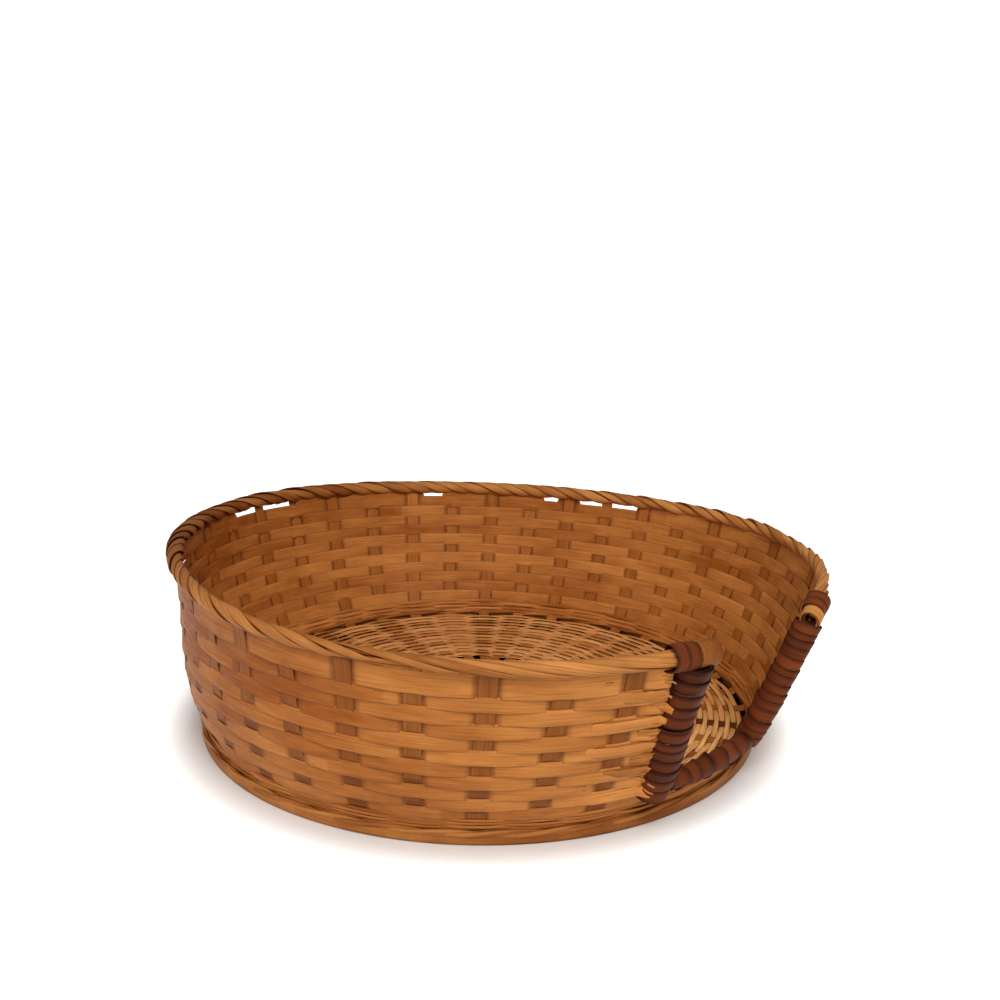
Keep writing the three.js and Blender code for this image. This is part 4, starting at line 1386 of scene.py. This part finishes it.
class BASKET_OT_notch(bpy.types.Operator):
    """Binds the posts, the sill and the rim's ends in stained cane"""
    bl_idname = "basket.notch"
    bl_label = "Posts, sill and cane"

    def post(self, wall, left):
        """The cane of one post. On the left post it lies off the rod, and comes back to it at the head."""
        rim = wall.rim
        side, kind, level = (-1, "left_post", 0.3) if left else (1, "right_post", 0.47)
        foot = wall.share(rim.post_foot_height)
        head = wall.under_rim(wall.post_angle(side, 1.0), rim.end_radius - 0.6 * MM)

        def path(shares):
            share = lerp(foot, head, shares)
            at, way_round, _, out = wall.frame(wall.post_angle(side, share), share)
            shift = rim.left_cane_shift * (1 - 1.4 * smooth((shares - 0.5) / 0.5)) if left else 0.0 * shares
            return at - way_round * shift[:, None], out
        radius = rim.post_radius + (rim.left_cane_shift if left else 0.35 * MM)
        return winding(
            draws(kind), path, rim.post_loops, radius, rim.band_thick, overlap=1.5 * MM,
            start_angle=1.0, jitter=0.12, slant=1.4 * MM, level=level)

    def sill(self, wall):
        """The cane of the sill, whose ends go in under the posts' cane."""
        rim = wall.rim
        reach = rim.post_foot_angle - (wall.post_outer - 1.2 * MM) / wall.shape.foot_radius

        def path(shares):
            angle = rim.notch_centre + lerp(-reach, reach, shares)
            at, _, _, out = wall.frame(angle, wall.share(rim.sill_height))
            return at, out
        return winding(
            draws("sill"), path, rim.sill_loops, rim.sill_radius + 0.9 * MM, rim.band_thick,
            overlap=1.5 * MM, start_angle=2.5, jitter=0.1, slant=1.2 * MM)

    def lashing(self, wall, left):
        """The turns of cane round the rim, right beside the middle of a post's head."""
        rim = wall.rim
        rail = Rail(wall)
        past_post, past_length = 0.8 * MM, 1.0 * MM
        if left:
            begin = rail.length - rim.left_overhang - (rim.lashing_length + past_length)
            kind, start_angle = "left_lashing", 3.3
        else:
            begin = rim.right_overhang - past_post
            kind, start_angle = "right_lashing", -1.0
        end = begin + rim.lashing_length + past_post + past_length

        def path(shares):
            at, _, out, _ = rail.frame(lerp(begin, end, shares))
            return at, out
        return winding(
            draws(kind), path, rim.lashing_loops, rim.end_radius + 0.15 * MM, rim.band_thick,
            overlap=0.8 * MM, start_angle=start_angle, bound=0, slant=0.8 * MM)

    def execute(self, context):
        wall = wall_of(context)
        colours = context.scene.basket_colours
        cane = cane_finish("stained_cane", colours.cane_dark, colours.cane_pale)
        raw = rod_finish("raw_rod", tuple(colours.rod))
        for name in ("left_post", "right_post", "sill"):
            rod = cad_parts[name]
            rod.data.materials.clear()
            rod.data.materials.append(raw)
        wound = {
            "left_post_wrap": self.post(wall, left=True),
            "right_post_wrap": self.post(wall, left=False),
            "sill_wrap": self.sill(wall),
            "right_rim_lashing": self.lashing(wall, left=False),
            "left_rim_lashing": self.lashing(wall, left=True),
        }
        for node, bundle in wound.items():
            bundle.piece(f"wound_{node}", cane, "brown_cane", node)
        return {"FINISHED"}


class BASKET_OT_stage(bpy.types.Operator):
    """Sets up the camera, the lamps, the sky and the floor"""
    bl_idname = "basket.stage"
    bl_label = "Stage"

    def camera(self, stage):
        data = bpy.data.cameras.new("camera")
        data.sensor_width = stage.sensor_width
        data.lens = stage.lens
        data.shift_x = stage.shift_x
        data.shift_y = stage.shift_y
        data.clip_start = 10 * MM
        camera = bpy.data.objects.new("camera", data)
        bpy.context.scene.collection.objects.link(camera)
        camera.location = stage.camera_place
        camera.rotation_mode = "XYZ"
        camera.rotation_euler = (math.pi / 2 - stage.camera_pitch, 0.0, -stage.camera_heading)
        camera.rotation_euler.rotate_axis("Z", stage.camera_roll)
        bpy.context.scene.camera = camera

    def lamp(self, name, place, target, size, power, colour):
        """A round lamp at a place that shines at the target."""
        data = bpy.data.lights.new(name, "AREA")
        data.shape = "DISK"
        data.size = size
        data.energy = power
        data.color = colour
        lamp = bpy.data.objects.new(name, data)
        bpy.context.scene.collection.objects.link(lamp)
        lamp.location = place
        x, y, z = np.array(target) - np.array(place)
        lamp.rotation_euler = (math.atan2(math.hypot(x, y), -z), 0.0, math.atan2(y, x) - math.pi / 2)

    def floor(self, stage):
        """A white floor with a painted shadow: dark under the basket, so that the gaps of the base look as
        deep as they are.
        """
        shade_colour, floor_colour = (0.03, 0.02, 0.012), (0.82, 0.82, 0.82)
        shade_end, floor_start = 120.8 * MM, 122.2 * MM
        lift_start, lift_end, lift = 121.5 * MM, 148 * MM, 0.85
        material = bpy.data.materials.new("white_floor")
        n = Nodes(material)
        low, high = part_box("foot_hoop")
        away = n.node("ShaderNodeVectorMath", operation="DISTANCE")
        n.fill(away.inputs[0], n.room())
        n.fill(away.inputs[1], ((low.x + high.x) / 2, (low.y + high.y) / 2, 0.0))
        beyond = away.outputs["Value"]
        plain = n.node("ShaderNodeBsdfDiffuse")
        # Painted shadow: the floor's colour is nearly black under the basket
        colour = n.mix(n.range(beyond, shade_end, floor_start), shade_colour, floor_colour)
        n.fill(plain.inputs["Color"], colour)
        glow = n.node("ShaderNodeEmission")
        n.fill(glow.inputs["Color"], (1.0, 1.0, 1.0))
        # The floor seen by the camera is lifted to white, but not in the basket's own shade
        n.fill(glow.inputs["Strength"], n.range(beyond, lift_start, lift_end, 0.0, lift))
        lifted = n.node("ShaderNodeAddShader")
        n.link(plain.outputs[0], lifted.inputs[0])
        n.link(glow.outputs[0], lifted.inputs[1])
        path = n.node("ShaderNodeLightPath")
        seen = n.math("MAXIMUM", path.outputs["Is Camera Ray"], path.outputs["Is Glossy Ray"])
        n.finish(n.either(seen, plain, lifted))
        half = stage.floor_size / 2
        mesh = bpy.data.meshes.new("floor")
        corners = [(-half, -half, 0.0), (half, -half, 0.0), (half, half, 0.0), (-half, half, 0.0)]
        mesh.from_pydata(corners, [], [(0, 1, 2, 3)])
        mesh.materials.append(material)
        floor = bpy.data.objects.new("floor", mesh)
        bpy.context.scene.collection.objects.link(floor)
        floor.location.z = -0.2 * MM

    def sky(self, stage):
        """An even light from all sides, which the camera sees as white."""
        world = bpy.data.worlds.new("sky")
        bpy.context.scene.world = world
        n = Nodes(world)
        lights = []
        for colour, strength in (((1.0, 0.98, 0.95), stage.world_light), ((1.0, 1.0, 1.0), 1.0)):
            light = n.node("ShaderNodeBackground")
            n.fill(light.inputs["Color"], colour)
            n.fill(light.inputs["Strength"], strength)
            lights.append(light)
        path = n.node("ShaderNodeLightPath")
        seen = n.math("MAXIMUM", path.outputs["Is Camera Ray"], path.outputs["Is Transmission Ray"])
        n.finish(n.either(seen, *lights), "ShaderNodeOutputWorld")

    def execute(self, context):
        stage = context.scene.basket_stage
        self.camera(stage)
        self.floor(stage)
        self.sky(stage)
        middle = (0.0, 0.0, 30 * MM)
        warm_white, warmer = (1.0, 0.97, 0.92), (1.0, 0.94, 0.84)
        self.lamp("key_lamp", (-0.47, -0.76, 0.95), middle, stage.lamp_size, stage.key_power, warm_white)
        self.lamp("fill_lamp", (-0.93, 0.0, 0.35), middle, stage.lamp_size, stage.fill_power, warmer)
        context.scene.view_settings.view_transform = "Standard"
        return {"FINISHED"}


STEPS = (
    BASKET_OT_stage,
    BASKET_OT_splints,
    BASKET_OT_base,
    BASKET_OT_foot,
    BASKET_OT_wall,
    BASKET_OT_rim,
    BASKET_OT_rim_core,
    BASKET_OT_notch,
)


class BASKET_PT_panel(bpy.types.Panel):
    """The basket's steps, in the order in which it is made"""
    bl_idname = "BASKET_PT_panel"
    bl_label = "Splint basket"
    bl_space_type = "VIEW_3D"
    bl_region_type = "UI"
    bl_category = "Basket"

    def draw(self, context):
        for step in STEPS:
            self.layout.operator(step.bl_idname)


GROUPS = {
    "basket_shape": BasketShape,
    "basket_weave": BasketWeave,
    "basket_rim": BasketRim,
    "basket_colours": BasketColours,
    "basket_stage": BasketStage,
}


def register():
    for group in GROUPS.values():
        bpy.utils.register_class(group)
    for name, group in GROUPS.items():
        setattr(bpy.types.Scene, name, bpy.props.PointerProperty(type=group))
    for step in STEPS:
        bpy.utils.register_class(step)
    bpy.utils.register_class(BASKET_PT_panel)


def unregister():
    bpy.utils.unregister_class(BASKET_PT_panel)
    for step in reversed(STEPS):
        bpy.utils.unregister_class(step)
    for name in GROUPS:
        delattr(bpy.types.Scene, name)
    for group in reversed(list(GROUPS.values())):
        bpy.utils.unregister_class(group)


def main():
    register()
    bpy.ops.basket.stage()
    bpy.ops.basket.splints()
    bpy.ops.basket.base()
    bpy.ops.basket.foot()
    bpy.ops.basket.wall()
    bpy.ops.basket.rim()
    bpy.ops.basket.rim_core()
    bpy.ops.basket.notch()


if __name__ == "__main__":
    main()
